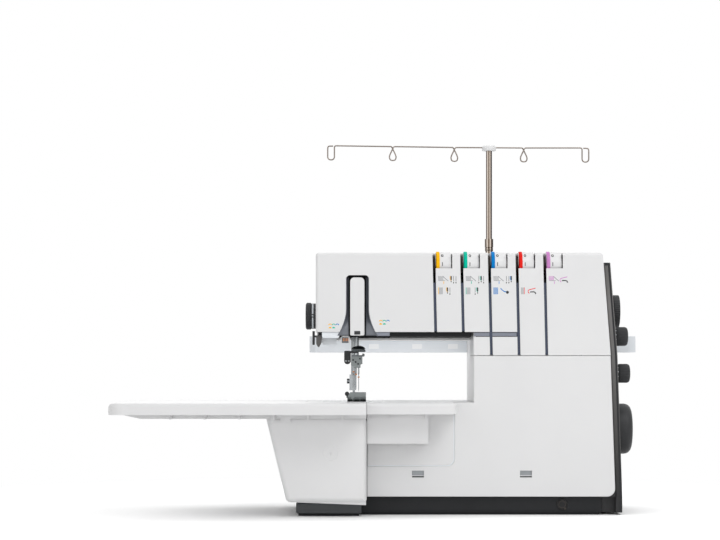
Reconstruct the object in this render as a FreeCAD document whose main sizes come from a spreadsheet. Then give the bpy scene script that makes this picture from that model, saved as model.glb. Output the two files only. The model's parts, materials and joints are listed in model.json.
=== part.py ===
"""Overlock and cover-stitch machine with a sliding extension table and a rear spool stand.

Lengths are in millimetres, +Z is up and the floor is Z = 0. Expressions place pieces from
two datums: X counts from the centre needle and Y counts back from the front casing plane.
The driving dimensions live in the sheet "dims", and every piece is bound to its cells.
"""
import FreeCAD
import Part
import math
import os
import re
import Sketcher
from FreeCAD import Placement, Rotation, Vector

# Driving dimensions: name, value, meaning
DIMENSIONS = [
    ("needle_x", -36.0, "centre needle, from the part's origin"),
    ("front_y", -90.0, "front casing plane, from the part's origin"),
    ("skin", 2.5, "wall of the moulded casings"),
    ("seam", 0.5, "gap between neighbouring casings"),
    ("play", 0.05, "radial clearance of a shaft in its bore"),
    ("pass_gap", 0.3, "clearance between pieces that pass each other"),
    # casing outline, seen from the front
    ("arm_left", -50.0, "left side of the head"),
    ("arm_top", 325.5, "top of the head"),
    ("arm_bottom", 227.0, "lower edge of the arm's front"),
    ("arm_rear_bottom", 218.0, "lower edge of the arm's back"),
    ("column_left", 146.0, "left side of the column"),
    ("right_top", 306.0, "right edge of the white casing at the top"),
    ("right_seam", 316.0, "right edge at the looper cover's top"),
    ("right_low", 322.0, "right edge at the base"),
    ("seam_height", 198.0, "top of the looper cover"),
    ("split_depth", 80.0, "joint between front and rear covers"),
    ("body_depth", 165.0, "depth of the casing"),
    ("edge_round", 4.0, "rounding of the casing's outer edges"),
    ("small_round", 1.2, "rounding of panel edges"),
    # base
    ("base_left", -74.0, "left end of the base"),
    ("base_front", 10.0, "front of the base"),
    ("base_inset", 7.0, "base's back edge before the casing's back"),
    ("base_top", 22.0, "top of the base"),
    ("base_right", 306.0, "joint between base and side panel"),
    ("foot_height", 3.0, "height of the rubber feet below the base"),
    ("foot_radius", 9.0, "rubber foot"),
    ("foot_inset", 16.0, "foot centre from the base's edges"),
    ("foot_recess", 2.0, "depth of the foot in the base"),
    # side panel
    ("panel_thick", 8.2, "side panel thickness"),
    ("panel_top", 313.0, "top of the side panel"),
    # bed
    ("deck_height", 140.0, "sewing surface"),
    ("deck_left", -62.0, "left end of the bed deck"),
    ("deck_front", 14.0, "front of the bed deck"),
    ("deck_inset", 3.0, "bed's back edge before the casing's back"),
    ("deck_skin", 3.0, "top wall of the bed deck"),
    ("plate_left", -42.0, "needle plate, left"),
    ("plate_right", 34.0, "needle plate, right"),
    ("plate_front", 24.0, "needle plate, front"),
    ("plate_back", 112.0, "needle plate, back"),
    ("plate_thick", 2.0, "needle plate thickness"),
    ("hopper_left_top", -109.5, "bed casing's left side at its top"),
    ("hopper_left_low", -85.0, "bed casing's left side at its foot"),
    ("hopper_right", 12.2, "bed casing's right edge"),
    ("hopper_front", -45.0, "bed casing's front"),
    ("hopper_top", 120.0, "bed casing's top"),
    ("hopper_low", 18.5, "bed casing's foot"),
    # extension table
    ("table_left", -298.0, "left end of the extension table"),
    ("table_front", -95.0, "front of the extension table"),
    ("table_skirt", 14.0, "height of the table's edge"),
    ("table_skin", 3.0, "table wall"),
    ("table_corner", 18.0, "plan radius of the table's corners"),
    ("table_edge", 5.0, "rounding of the table's upper edge"),
    ("rib_pitch", 41.5, "spacing of the table's cross ribs"),
    ("rib_thick", 2.0, "thickness of the ribs"),
    ("rib_inset", 17.0, "ribs from the table's front edge"),
    ("rib_start", 74.0, "first rib from the table's left end"),
    ("beam_inset", 45.0, "lengthwise beam under the table from its front edge"),
    ("beam_start", 10.0, "beam from the table's left end"),
    ("beam_slope", 26.0, "length of the beam's sloped left end"),
    ("latch_x", -86.0, "centre of the table latch"),
    ("latch_width", 13.0, "width of the table latch"),
    # cloth plate insert on the looper cover
    ("insert_left", 13.7, "left edge of looper cover and insert"),
    ("insert_right", 121.5, "right edge of the insert panel"),
    ("insert_low", 61.0, "lower edge of the insert panel"),
    ("insert_corner", 9.0, "lower corner radius of the insert panel"),
    ("ledge_front", -56.0, "front edge of the insert's cloth ledge"),
    ("ledge_right", 123.5, "right end of the cloth ledge"),
    ("ledge_corner", 8.0, "plan radius of the ledge's corner"),
    ("chute_right", 88.5, "right side of the trimmings chute"),
    ("chute_low", 89.5, "lower edge of the trimmings chute"),
    ("chute_front", -30.0, "front of the trimmings chute"),
    # looper cover
    ("cover_depth", 13.0, "depth of the looper cover's rim"),
    ("cover_corner", 10.0, "lower right corner radius"),
    ("hinge_y", 6.5, "looper cover hinge, from the front plane"),
    ("hinge_z", 27.0, "looper cover hinge, height"),
    ("hinge_radius", 3.0, "hinge knuckle radius"),
    ("hinge_pin", 1.6, "hinge pin radius"),
    ("hinge_left", 60.0, "left hinge lug"),
    ("hinge_right", 270.0, "right hinge lug"),
    ("lug_width", 8.0, "width of a hinge lug"),
    ("slot_left", 69.4, "left hook slot"),
    ("slot_right", 203.4, "right hook slot"),
    ("slot_wide", 14.9, "hook slot width"),
    ("slot_low", 46.5, "hook slot lower edge"),
    ("slot_tall", 8.5, "hook slot height"),
    # thread slots and tension dials
    ("first_slot", 96.6, "first thread slot at the arm's top"),
    ("slot_pitch", 34.3, "spacing of the thread slots"),
    ("slot_gap", 3.6, "width of a thread slot"),
    ("slot_lean", 1.3, "lean of the thread slots, degrees"),
    ("slot_depth", 22.0, "depth of a thread slot"),
    ("rail_height", 6.0, "height of the dark thread channel under the panels"),
    ("dial_radius", 16.0, "tension dial radius"),
    ("dial_width", 19.0, "tension dial width"),
    ("dial_proud", 2.0, "dial above the casing's top"),
    ("dial_back", 2.2, "dial's front behind the casing's front"),
    ("dial_from_slot", 3.0, "dial's left face from its thread slot's centre"),
    ("dial_low", 306.0, "lower edge of the dial windows"),
    ("disc_radius", 11.0, "tension disc radius"),
    ("tension_pin", 3.0, "radius of the tension shaft"),
    # take-up slot
    ("recess_left", -12.4, "take-up recess, left"),
    ("recess_right", 16.1, "take-up recess, right"),
    ("recess_top", 297.5, "take-up recess, top"),
    ("recess_flare", 8.0, "widening of the recess at its foot"),
    ("recess_round", 5.0, "corner radius of the recess and its guard"),
    ("flare_height", 27.0, "height over which the recess widens"),
    ("recess_depth", 20.0, "depth of the take-up recess"),
    ("guard_left", -7.4, "take-up guard, left"),
    ("guard_right", 10.5, "take-up guard, right"),
    ("guard_top", 294.8, "take-up guard, top"),
    ("guard_low", 224.0, "take-up guard, foot"),
    # drive
    ("shaft_y", 70.0, "main shaft, back from the front plane"),
    ("shaft_z", 105.0, "main shaft height"),
    ("shaft_radius", 7.0, "main shaft radius"),
    ("bush_wall", 3.0, "bearing bush wall"),
    ("pulley_radius", 30.0, "drive pulley"),
    ("motor_inset", 45.0, "motor axis before the casing's back"),
    ("motor_z", 55.0, "motor axis height"),
    ("motor_radius", 27.0, "motor body radius"),
    ("motor_length", 80.0, "motor body length"),
    ("motor_pulley_radius", 10.0, "motor pulley"),
    ("motor_pin", 4.0, "motor shaft radius"),
    ("belt_thick", 2.0, "timing belt thickness"),
    ("belt_width", 10.0, "timing belt width"),
    ("wheel_radius", 32.0, "handwheel radius"),
    ("wheel_width", 20.0, "handwheel width"),
    ("rock_inset", 55.0, "arm shaft before the casing's back"),
    ("rock_z", 262.0, "arm shaft height"),
    ("rock_radius", 6.0, "arm shaft radius"),
    # needle and presser
    ("needle_y", 55.0, "needles, back from the front plane"),
    ("needle_pitch", 3.2, "spacing of the needles"),
    ("needle_stroke", 24.0, "needle bar stroke"),
    ("comb_x", 3.0, "middle of the thread comb on the needle bar"),
    ("comb_radius", 9.0, "thread comb"),
    ("comb_tall", 8.0, "height of the thread comb"),
    ("threader_x", -10.9, "middle of the needle threader arm"),
    ("threader_wide", 8.4, "width of the needle threader arm"),
    ("threader_drop", 15.5, "needle threader arm below the comb"),
    ("needle_step", 2.4, "height step from needle to needle"),
    ("needle_tip", 152.0, "tip of the lowest needle"),
    ("needle_radius", 0.5, "needle blade radius"),
    ("bar_radius", 3.5, "needle bar and presser bar radius"),
    ("clamp_left", -6.4, "left side of the needle clamp"),
    ("clamp_right", 8.0, "right side of the needle clamp"),
    ("clamp_low", 182.5, "foot of the needle clamp"),
    ("clamp_top", 197.0, "top of the needle clamp"),
    ("presser_x", -3.0, "presser bar"),
    ("presser_y", 80.0, "presser bar, back from the front plane"),
    ("foot_wide", 23.5, "presser foot width"),
    ("foot_long", 45.0, "presser foot length"),
    ("foot_tall", 11.5, "presser foot height"),
    ("sole_thick", 2.5, "presser foot sole"),
    # loopers, knives and feed
    ("looper_pin", 4.0, "looper shaft radius"),
    ("looper_z", 60.0, "looper shafts' height"),
    ("lower_looper_x", -25.0, "lower looper shaft"),
    ("upper_looper_x", 45.0, "upper looper shaft"),
    ("knife_x", 18.0, "upper knife"),
    ("knife_pin", 3.0, "upper knife's guide rod radius"),
    ("lifter_x", 50.0, "presser lifter's pivot"),
    ("lifter_z", 246.0, "presser lifter's height"),
    # right-hand controls
    ("knob_radius", 12.0, "stitch length and differential knobs"),
    ("knob_width", 18.0, "knob length"),
    ("knob_pin", 4.0, "knob shaft radius"),
    ("knob_y", 45.0, "knobs, back from the front plane"),
    ("length_knob_z", 222.0, "stitch length knob height"),
    ("feed_knob_z", 175.5, "differential feed knob height"),
    ("selector_radius", 21.0, "stitch selector dial radius"),
    ("selector_width", 8.0, "stitch selector dial thickness"),
    ("selector_y", 100.0, "stitch selector dial, back from the front plane"),
    ("selector_z", 255.0, "stitch selector dial height"),
    ("control_gap", 1.6, "knob's inner face from the side panel"),
    ("pressure_radius", 17.0, "foot pressure knob radius"),
    ("pressure_width", 13.0, "foot pressure knob length"),
    ("pressure_y", 60.0, "foot pressure knob, back from the front plane"),
    ("pressure_z", 248.0, "foot pressure knob height"),
    ("inlet_y", 128.0, "mains inlet, back from the front plane"),
    ("inlet_z", 44.0, "mains inlet height"),
    ("inlet_wide", 27.0, "mains inlet width"),
    ("inlet_tall", 20.0, "mains inlet height"),
    ("switch_y", 92.0, "power switch, back from the front plane"),
    ("switch_wide", 13.0, "power switch width"),
    ("switch_tall", 19.0, "power switch height"),
    ("knee_x", 256.7, "knee lever socket"),
    ("knee_z", 12.5, "knee lever socket height"),
    ("knee_radius", 7.4, "knee lever socket outer radius"),
    ("knee_bore", 3.8, "knee lever socket bore radius"),
    ("knee_long", 13.0, "knee lever socket length"),
    # spool stand
    ("tray_left", -62.0, "left end of the spool tray"),
    ("tray_right", 370.0, "right end of the spool tray"),
    ("tray_long", 109.5, "depth of the spool tray"),
    ("tray_low", 203.0, "foot of the spool tray"),
    ("tray_tall", 21.0, "height of the spool tray's wall"),
    ("tray_skin", 3.0, "spool tray wall"),
    ("tray_corner", 12.0, "plan radius of the tray's corners"),
    ("window_wide", 13.0, "window in the tray's front wall"),
    ("window_tall", 6.5, "height of a tray window"),
    ("spool_y", 220.0, "spool pins, back from the front plane"),
    ("first_spool", -34.0, "left spool pin"),
    ("spool_pitch", 83.0, "spacing of spool pins on one side of the mast"),
    ("mast_x", 178.5, "thread guide mast"),
    ("mast_step", 46.7, "mast to the nearest spool pin"),
    ("spool_tall", 84.0, "spool pin height above the tray floor"),
    ("spool_pin", 3.0, "spool pin radius"),
    ("spool_neck", 2.6, "spool pin radius inside its cone holder"),
    ("cone_radius", 22.0, "cone holder radius"),
    ("cone_tall", 42.0, "cone holder height"),
    ("mast_radius", 4.7, "mast outer tube"),
    ("mast_wall", 0.6, "mast tube wall"),
    ("mast_joint", 355.5, "top of the mast's outer tube"),
    ("mast_top", 475.0, "top of the mast's inner tube"),
    ("mast_overlap", 22.0, "inner tube inside the outer tube"),
    ("cap_radius", 9.5, "guide cap radius"),
    ("cap_tall", 7.0, "guide cap height"),
    ("wire_radius", 0.9, "thread guide wire"),
    ("eye_wide", 9.0, "width of a thread eye"),
    ("eye_tall", 19.0, "height of a thread eye"),
    ("bar_rise", 3.0, "rise of the guide wire's left end"),
]

doc = FreeCAD.newDocument("overlock_machine")
sheet = doc.addObject("Spreadsheet::Sheet", "dims")
for row, (alias, value, meaning) in enumerate(DIMENSIONS, 1):
    sheet.set(f"A{row}", meaning)
    sheet.set(f"B{row}", str(value))
    sheet.setAlias(f"B{row}", alias)
doc.recompute()
ALIASES = {alias for alias, _, _ in DIMENSIONS}
nodes = {}


# Expressions and placing

def cell(text):
    """An expression with each sheet name written as a reference to its cell."""
    return re.sub(r"[a-z_]+[a-z_0-9]*", lambda m: f"dims.{m[0]}" if m[0] in ALIASES else m[0], str(text))


def num(text):
    """The value of an expression."""
    return float(sheet.evalExpression(cell(text)))


def at(x="0", y="0", z="0"):
    """A point in the part's own frame, from the needle and front-plane datums."""
    return Vector(num(f"needle_x + {x}"), num(f"front_y + {y}"), num(z))


def place(piece, x="0", y="0", z="0"):
    """Binds a piece's position to expressions from the datums."""
    piece.setExpression("Placement.Base.x", cell(f"needle_x + {x}"))
    piece.setExpression("Placement.Base.y", cell(f"front_y + {y}"))
    piece.setExpression("Placement.Base.z", cell(z))
    return piece


def new_name(stem):
    """A free object name that starts with stem."""
    count = 1
    while doc.getObject(f"{stem}_{count}"):
        count += 1
    return f"{stem}_{count}"


# Solids

def block(x, y, z):
    """A box between two planes on each axis."""
    piece = doc.addObject("Part::Box", new_name("block"))
    for size, (low, high) in (("Length", x), ("Width", y), ("Height", z)):
        piece.setExpression(size, cell(f"({high}) - ({low})"))
    return place(piece, x[0], y[0], z[0])


TURN = {
    "x": Rotation(Vector(0, 1, 0), 90),
    "y": Rotation(Vector(1, 0, 0), -90),
    "z": Rotation(),
}


def rod(axis, x, y, z, radius):
    """A cylinder along an axis; the coordinate on that axis is a (low, high) pair."""
    piece = doc.addObject("Part::Cylinder", new_name("rod"))
    piece.Placement = Placement(Vector(), TURN[axis])
    low, high = {"x": x, "y": y, "z": z}[axis]
    piece.setExpression("Radius", cell(radius))
    piece.setExpression("Height", cell(f"({high}) - ({low})"))
    start = {"x": x, "y": y, "z": z}
    start[axis] = low
    return place(piece, **start)


def outline_sketch(body, role, points):
    """A closed outline of straight runs, each corner held by two bound constraints."""
    sketch = body.newObject("Sketcher::SketchObject", new_name("outline"))
    plane = next(f for f in body.Origin.OriginFeatures if f.Role == role)
    sketch.AttachmentSupport = (plane, [""])
    sketch.MapMode = "FlatFace"
    values = [(num(u), num(v)) for u, v in points]
    count = len(points)
    for i in range(count):
        start, end = values[i], values[(i + 1) % count]
        sketch.addGeometry(Part.LineSegment(Vector(*start, 0), Vector(*end, 0)), False)
    for i in range(count):
        sketch.addConstraint(Sketcher.Constraint("Coincident", i, 2, (i + 1) % count, 1))
    for i in range(count):
        for axis, letter, value, text in zip("XY", "uv", values[i], points[i]):
            made = sketch.addConstraint(Sketcher.Constraint(f"Distance{axis}", -1, 1, i, 1, value))
            sketch.renameConstraint(made, f"{letter}{i}")
            sketch.setExpression(f"Constraints.{letter}{i}", cell(text))
    return sketch


def prism(plane, points, span):
    """A padded outline. Plane xz pads along Y, xy along Z and yz along X, over span."""
    body = doc.addObject("PartDesign::Body", new_name("prism"))
    sketch = outline_sketch(body, {"xz": "XZ_Plane", "xy": "XY_Plane", "yz": "YZ_Plane"}[plane], points)
    pad = body.newObject("PartDesign::Pad", new_name("pad"))
    pad.Profile = sketch
    pad.Reversed = plane == "xz"
    pad.setExpression("Length", cell(f"({span[1]}) - ({span[0]})"))
    axis = {"xz": "y", "xy": "z", "yz": "x"}[plane]
    return place(body, **{axis: span[0]})


def turned(axis, points, x="0", y="0", z="0"):
    """A turned piece: points are (distance along the axis, radius), closed on the axis."""
    body = doc.addObject("PartDesign::Body", new_name("turned"))
    sketch = outline_sketch(body, "XZ_Plane", points)
    turn = body.newObject("PartDesign::Revolution", new_name("revolution"))
    turn.Profile = sketch
    turn.ReferenceAxis = (sketch, ["H_Axis"])
    turn.Angle = 360
    body.Placement = Placement(Vector(), {"x": Rotation(), "y": Rotation(Vector(0, 0, 1), 90),
                                          "z": Rotation(Vector(0, 1, 0), -90)}[axis])
    return place(body, x, y, z)


def joined(kind, pieces):
    piece = doc.addObject(kind, new_name(kind.split("Multi")[1].lower()))
    piece.Shapes = pieces
    piece.Refine = True
    return piece


def fused(*pieces):
    """One solid from pieces that overlap or meet."""
    return joined("Part::MultiFuse", list(pieces))


def cut(base, *tools):
    """The base with every tool's volume taken away."""
    piece = doc.addObject("Part::Cut", new_name("cut"))
    piece.Base = base
    piece.Tool = tools[0] if len(tools) == 1 else fused(*tools)
    piece.Refine = True
    return piece


def group(*pieces):
    """Separate solids kept together as one node."""
    piece = doc.addObject("Part::Compound", new_name("group"))
    piece.Links = list(pieces)
    return piece


def rounded(base, radius, chosen):
    """The base with a fillet on each edge that chosen(middle, direction, edge) picks."""
    doc.recompute()
    picks = []
    for index, edge in enumerate(base.Shape.Edges, 1):
        middle = edge.valueAt((edge.FirstParameter + edge.LastParameter) / 2)
        direction = edge.tangentAt(edge.FirstParameter)
        if chosen(middle, direction, edge):
            picks.append((index, num(radius), num(radius)))
    if not picks:
        raise ValueError(f"no edge to round on {base.Name}")
    piece = doc.addObject("Part::Fillet", new_name("rounded"))
    piece.Base = base
    piece.Edges = picks
    return piece


def along(direction, axis):
    """True where a straight edge runs along an axis."""
    return abs(getattr(direction, axis)) > 0.98


def near(value, text, datum="", reach=0.05):
    """True where a frame coordinate equals an expression."""
    return abs(value - num(f"{datum} + {text}" if datum else text)) < reach


def node(name, piece):
    """Registers a finished sub-part under its own name."""
    piece.Label = name
    nodes[name] = piece
    return piece


# Shared lines of the casing

def side_x(z):
    """The white casing's slanted right edge at a height, as an expression."""
    low = f"(right_seam + (right_low - right_seam) * (seam_height - ({z})) / (seam_height - base_top))"
    high = f"(right_top + (right_seam - right_top) * (arm_top - ({z})) / (arm_top - seam_height))"
    return low if num(z) < num("seam_height") else high


def panel_x(z):
    """The side panel's outer face at a height."""
    return f"({side_x(z)} + seam + panel_thick)"


def slot_x(number):
    """A thread slot's centre at the top of the arm."""
    return f"(first_slot + slot_pitch * {number})"


def slot_foot(number, z):
    """A thread slot's centre at a height, following its lean."""
    return f"({slot_x(number)} + (arm_top - ({z})) * tan(slot_lean))"


def slot_cutter(number, low, depth):
    """The leaning blade that cuts one thread slot, from a height up through the top."""
    margin = 6
    half = "slot_gap / 2"
    high = f"arm_top + {margin}"
    points = [(f"{slot_foot(number, low)} - {half}", low), (f"{slot_foot(number, low)} + {half}", low),
              (f"{slot_foot(number, high)} + {half}", high), (f"{slot_foot(number, high)} - {half}", high)]
    return prism("xz", points, (f"-{margin}", depth))


SLOTS = 5
LONG_SLOTS = (2, 3, 4)
DIAL_Y = "(dial_radius + dial_back)"
DIAL_Z = "(arm_top + dial_proud - dial_radius)"
RAIL_RIGHT = slot_foot(3, "arm_bottom")


def slot_low(number):
    """The height where a thread slot ends."""
    return "seam_height - seam" if number in LONG_SLOTS else "arm_bottom - rail_height - 1"


# Base, feet and cast frame

FRAME_FLOOR = ("base_top - 8", "base_top - 2")


def base_pan():
    shell = cut(
        block(("base_left", "base_right"), ("base_front", "(body_depth - base_inset)"),
              ("foot_height", "base_top")),
        block(("base_left + skin", "base_right - skin"),
              ("base_front + skin", "(body_depth - base_inset) - skin"),
              ("foot_height + 2 * skin", "base_top + 1")))
    bosses = [rod("z", x, y, ("foot_height + skin", "base_top - 8"), "7")
              for x in ("base_left + 34",
                        "base_right - 34") for y in ("base_front + 30", "(body_depth - base_inset) - 30")]
    lugs = []
    for x in ("hinge_left", "hinge_right"):
        span = (x, f"{x} + lug_width")
        lugs.append(fused(
            rod("x", span, "hinge_y", "hinge_z", "hinge_radius"),
            block(span, ("hinge_y", "base_front + skin"),
                  ("hinge_z - hinge_radius", "hinge_z + hinge_radius")),
            block(span, ("base_front", "base_front + skin"), ("base_top - 4", "hinge_z + hinge_radius"))))
    holes = [rod("x", (f"{x} - 1", f"{x} + lug_width + 1"), "hinge_y", "hinge_z", "hinge_pin + play")
             for x in ("hinge_left", "hinge_right")]
    holes.append(rod("y", "knee_x", ("base_front - 1", "base_front + knee_long"), "knee_z", "knee_radius"))
    holes += [rod("z", x, y, ("foot_height - 1", "foot_height + foot_recess"), "foot_radius")
              for x, y in FEET]
    whole = cut(fused(shell, *bosses, *lugs), *holes)
    return node("base_pan", whole)


FEET = [(x, y) for x in ("base_left + foot_inset", "base_right - foot_inset")
        for y in ("base_front + foot_inset", "(body_depth - base_inset) - foot_inset")]


def rubber_feet():
    pads = [rod("z", x, y, ("0", "foot_height + foot_recess"), "foot_radius") for x, y in FEET]
    return node("rubber_feet", group(*pads))


BED_WALLS = (("-50", "-42"), ("60", "68"))
COLUMN_WALLS = (("158", "166"), ("282", "290"))
ARM_LUGS = (("22", "30"), ("112", "120"))
LOWER_GUIDE = ("arm_bottom + 3", "arm_bottom + 13")
UPPER_GUIDE = ("rock_z + 24", "rock_z + 32")
LOOPER_WALLS = (("30", "36"), ("body_depth - 29", "body_depth - 23"))
ARM_BEAM = ("body_depth - 37", "body_depth - 29")
FEED_BRIDGE = ("86", "96")
FEED_REST = "deck_height - 14.5"
BUSH = "shaft_radius + bush_wall"
ROCK_BUSH = "rock_radius + bush_wall"
BAR_BUSH = "bar_radius + bush_wall / 2"
KNIFE_BOSS = (("knife_x - 12", "knife_x"), ("35", "56"), ("84", "96"))


def main_frame():
    floor = block(("base_left + 14", "290"), ("base_front + 14", "(body_depth - base_inset) - 8"),
                  FRAME_FLOOR)
    parts = [floor]
    for wall in BED_WALLS:
        parts.append(block(wall, ("30", LOOPER_WALLS[1][1]),
                           (FRAME_FLOOR[0], "deck_height - deck_skin - pass_gap")))
    for wall in COLUMN_WALLS:
        parts.append(block(wall, ("24", "body_depth - 15"), (FRAME_FLOOR[0], "seam_height - 4")))
        parts.append(block(wall, ("92", "body_depth - 15"), ("seam_height - 5", "arm_top - 25")))
    parts.append(block(("-36", "290"), ARM_BEAM, ("arm_bottom + 8", "arm_top - 25")))
    for lug in ARM_LUGS:
        parts.append(block(lug, ("(body_depth - rock_inset) - 16", f"{ARM_BEAM[0]} + 2"),
                           ("rock_z - 16", "rock_z + 16")))
    for guide in (LOWER_GUIDE, UPPER_GUIDE):
        parts.append(block(("-14", "14"), ("needle_y - 10", f"{ARM_BEAM[0]} + 2"), guide))
    for wall in LOOPER_WALLS:
        parts.append(block((BED_WALLS[0][0], BED_WALLS[1][1]), wall, (FRAME_FLOOR[0], "looper_z + 18")))
    parts.append(block((BED_WALLS[0][0], BED_WALLS[1][1]), FEED_BRIDGE, ("deck_height - 28", FEED_REST)))
    parts.append(block(("knife_x - 10", "knife_x"), ("35", "44"), ("looper_z + 10", "85")))
    parts.append(block(*KNIFE_BOSS))
    parts.append(block(("knife_x + 3.4", "knife_x + 10"), ("35", "44"),
                       ("looper_z + 10", "deck_height - 14")))
    holes = [rod("x", (f"{low} - 1", f"{high} + 1"), "shaft_y", "shaft_z", BUSH)
             for low, high in (*BED_WALLS, *COLUMN_WALLS)]
    holes += [rod("x", (f"{low} - 1", f"{high} + 1"), "(body_depth - rock_inset)", "rock_z", ROCK_BUSH)
              for low, high in ARM_LUGS]
    holes.append(rod("x", ("157", "167"), "(body_depth - rock_inset)", "rock_z", "rock_radius + 2"))
    holes.append(rod("x", ("281", "291"), "(body_depth - motor_inset)", "motor_z", "motor_pin + play"))
    for low, high in (LOWER_GUIDE, UPPER_GUIDE):
        for x, y in (("0", "needle_y"), ("presser_x", "presser_y")):
            holes.append(rod("z", x, y, (f"{low} - 1", f"{high} + 1"), BAR_BUSH))
    for x in ("lower_looper_x", "upper_looper_x"):
        for low, high in LOOPER_WALLS:
            holes.append(rod("y", x, (f"{low} - 1", f"{high} + 1"), "looper_z", "looper_pin + play"))
    holes.append(rod("z", "knife_x - 6", "50", ("80", "100"), "knife_pin + play"))
    holes.append(rod("y", "lifter_x", (f"{ARM_BEAM[0]} - 1", f"{ARM_BEAM[1]} + 1"), "lifter_z",
                     "knob_pin + play"))
    return node("main_frame", cut(fused(*parts), *holes))


def bush(axis, outer, inner, **where):
    """A plain bearing bush."""
    span = {k: v for k, v in where.items() if isinstance(v, tuple)}
    longer = {k: (f"{v[0]} - 1", f"{v[1]} + 1") for k, v in span.items()}
    return cut(rod(axis, **where, radius=outer), rod(axis, **{**where, **longer}, radius=inner))


def shaft_bushes():
    made = [bush("x", BUSH, "shaft_radius + play", x=span, y="shaft_y", z="shaft_z")
            for span in (*BED_WALLS, *COLUMN_WALLS)]
    made += [bush("x", ROCK_BUSH, "rock_radius + play", x=span, y="(body_depth - rock_inset)", z="rock_z")
             for span in ARM_LUGS]
    for span in (LOWER_GUIDE, UPPER_GUIDE):
        for x, y in (("0", "needle_y"), ("presser_x", "presser_y")):
            made.append(bush("z", BAR_BUSH, "bar_radius + play", x=x, y=y, z=span))
    return node("shaft_bushes", group(*made))


# Casings

HALF_SLOT = "slot_gap / 2"


def front_edge(middle, direction, edge):
    """Edges of the front casing plane."""
    return near(middle.y, "0", "front_y") and not along(direction, "y")


def shell(plane, outer, inner, outer_span, inner_span, radius, chosen):
    """A rounded prism emptied by an inner prism."""
    return cut(rounded(prism(plane, outer, outer_span), radius, chosen), prism(plane, inner, inner_span))


FLARE_STEPS = 5
FLARE_POWER = 1.7


def recess_side(edge, sign):
    """One side of the recess from the top of its flare, which widens ever faster towards its foot."""
    points = []
    for step in range(FLARE_STEPS + 1):
        share = step / FLARE_STEPS
        points.append((f"{edge} {sign} recess_flare * {share ** FLARE_POWER:.4f}",
                       f"arm_bottom + flare_height * {1 - share:.4f}"))
    return points


def recess_outline(low):
    """The take-up recess, flared at its foot, down to a height."""
    return [("recess_left", "recess_top"), ("recess_right", "recess_top"),
            *recess_side("recess_right", "+"),
            ("recess_right + recess_flare", low), ("recess_left - recess_flare", low),
            *reversed(recess_side("recess_left", "-"))]


def recess_cutter(low, span):
    """The recess as a cutter with round upper corners."""

    def upper(middle, direction, edge):
        return along(direction, "y") and near(middle.z, "recess_top")

    return rounded(prism("xz", recess_outline(low), span), "recess_round", upper)


def head_cover():
    top = f"{slot_x(0)} - {HALF_SLOT}"
    foot = f"{slot_foot(0, 'arm_bottom')} - {HALF_SLOT}"
    outer = [("arm_left", "arm_bottom"), ("arm_left", "arm_top"), (top, "arm_top"), (foot, "arm_bottom")]
    inner = [("arm_left + skin", "arm_bottom - 1"), ("arm_left + skin", "arm_top - skin"),
             (f"{top} - skin", "arm_top - skin"), (f"{foot} - skin", "arm_bottom - 1")]

    def outer_edges(middle, direction, edge):
        left = near(middle.x, "arm_left", "needle_x") and near(middle.z, "arm_top")
        return left or (front_edge(middle, direction, edge)
                        and (near(middle.x, "arm_left", "needle_x") or near(middle.z, "arm_top")))

    made = shell("xz", outer, inner, ("0", "split_depth"), ("skin", "split_depth + 1"),
                 "edge_round", outer_edges)
    recess = recess_cutter("arm_bottom - 1", ("-1", "skin + 1"))
    side_gap = block((f"{top} - 2 * skin", f"{foot} + 1"), ("slot_depth + 12", "split_depth + 1"),
                     ("arm_bottom - 1", "arm_top - skin"))
    ear_gap = block((f"{top} - 2 * skin", f"{foot} + 1"), (f"{DIAL_Y} - 10", "split_depth + 1"),
                    (f"{DIAL_Z} - 12", "arm_top - skin"))
    knob_hole = rod("x", ("arm_left - 1", "arm_left + skin + 1"), "pressure_y", "pressure_z",
                    "knob_pin + play")
    return node("head_cover", cut(made, recess, side_gap, ear_gap, knob_hole))


def dial_window(number):
    left = f"{slot_x(number)} + dial_from_slot - 0.8"
    right = f"{slot_x(number)} + dial_from_slot + dial_width + 0.8"
    room = rod("x", (left, right), DIAL_Y, DIAL_Z, "dial_radius + 0.8")
    return fused(room, block((left, right), ("-3", "2 * dial_radius"), ("dial_low", "arm_top + 5")))


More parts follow.
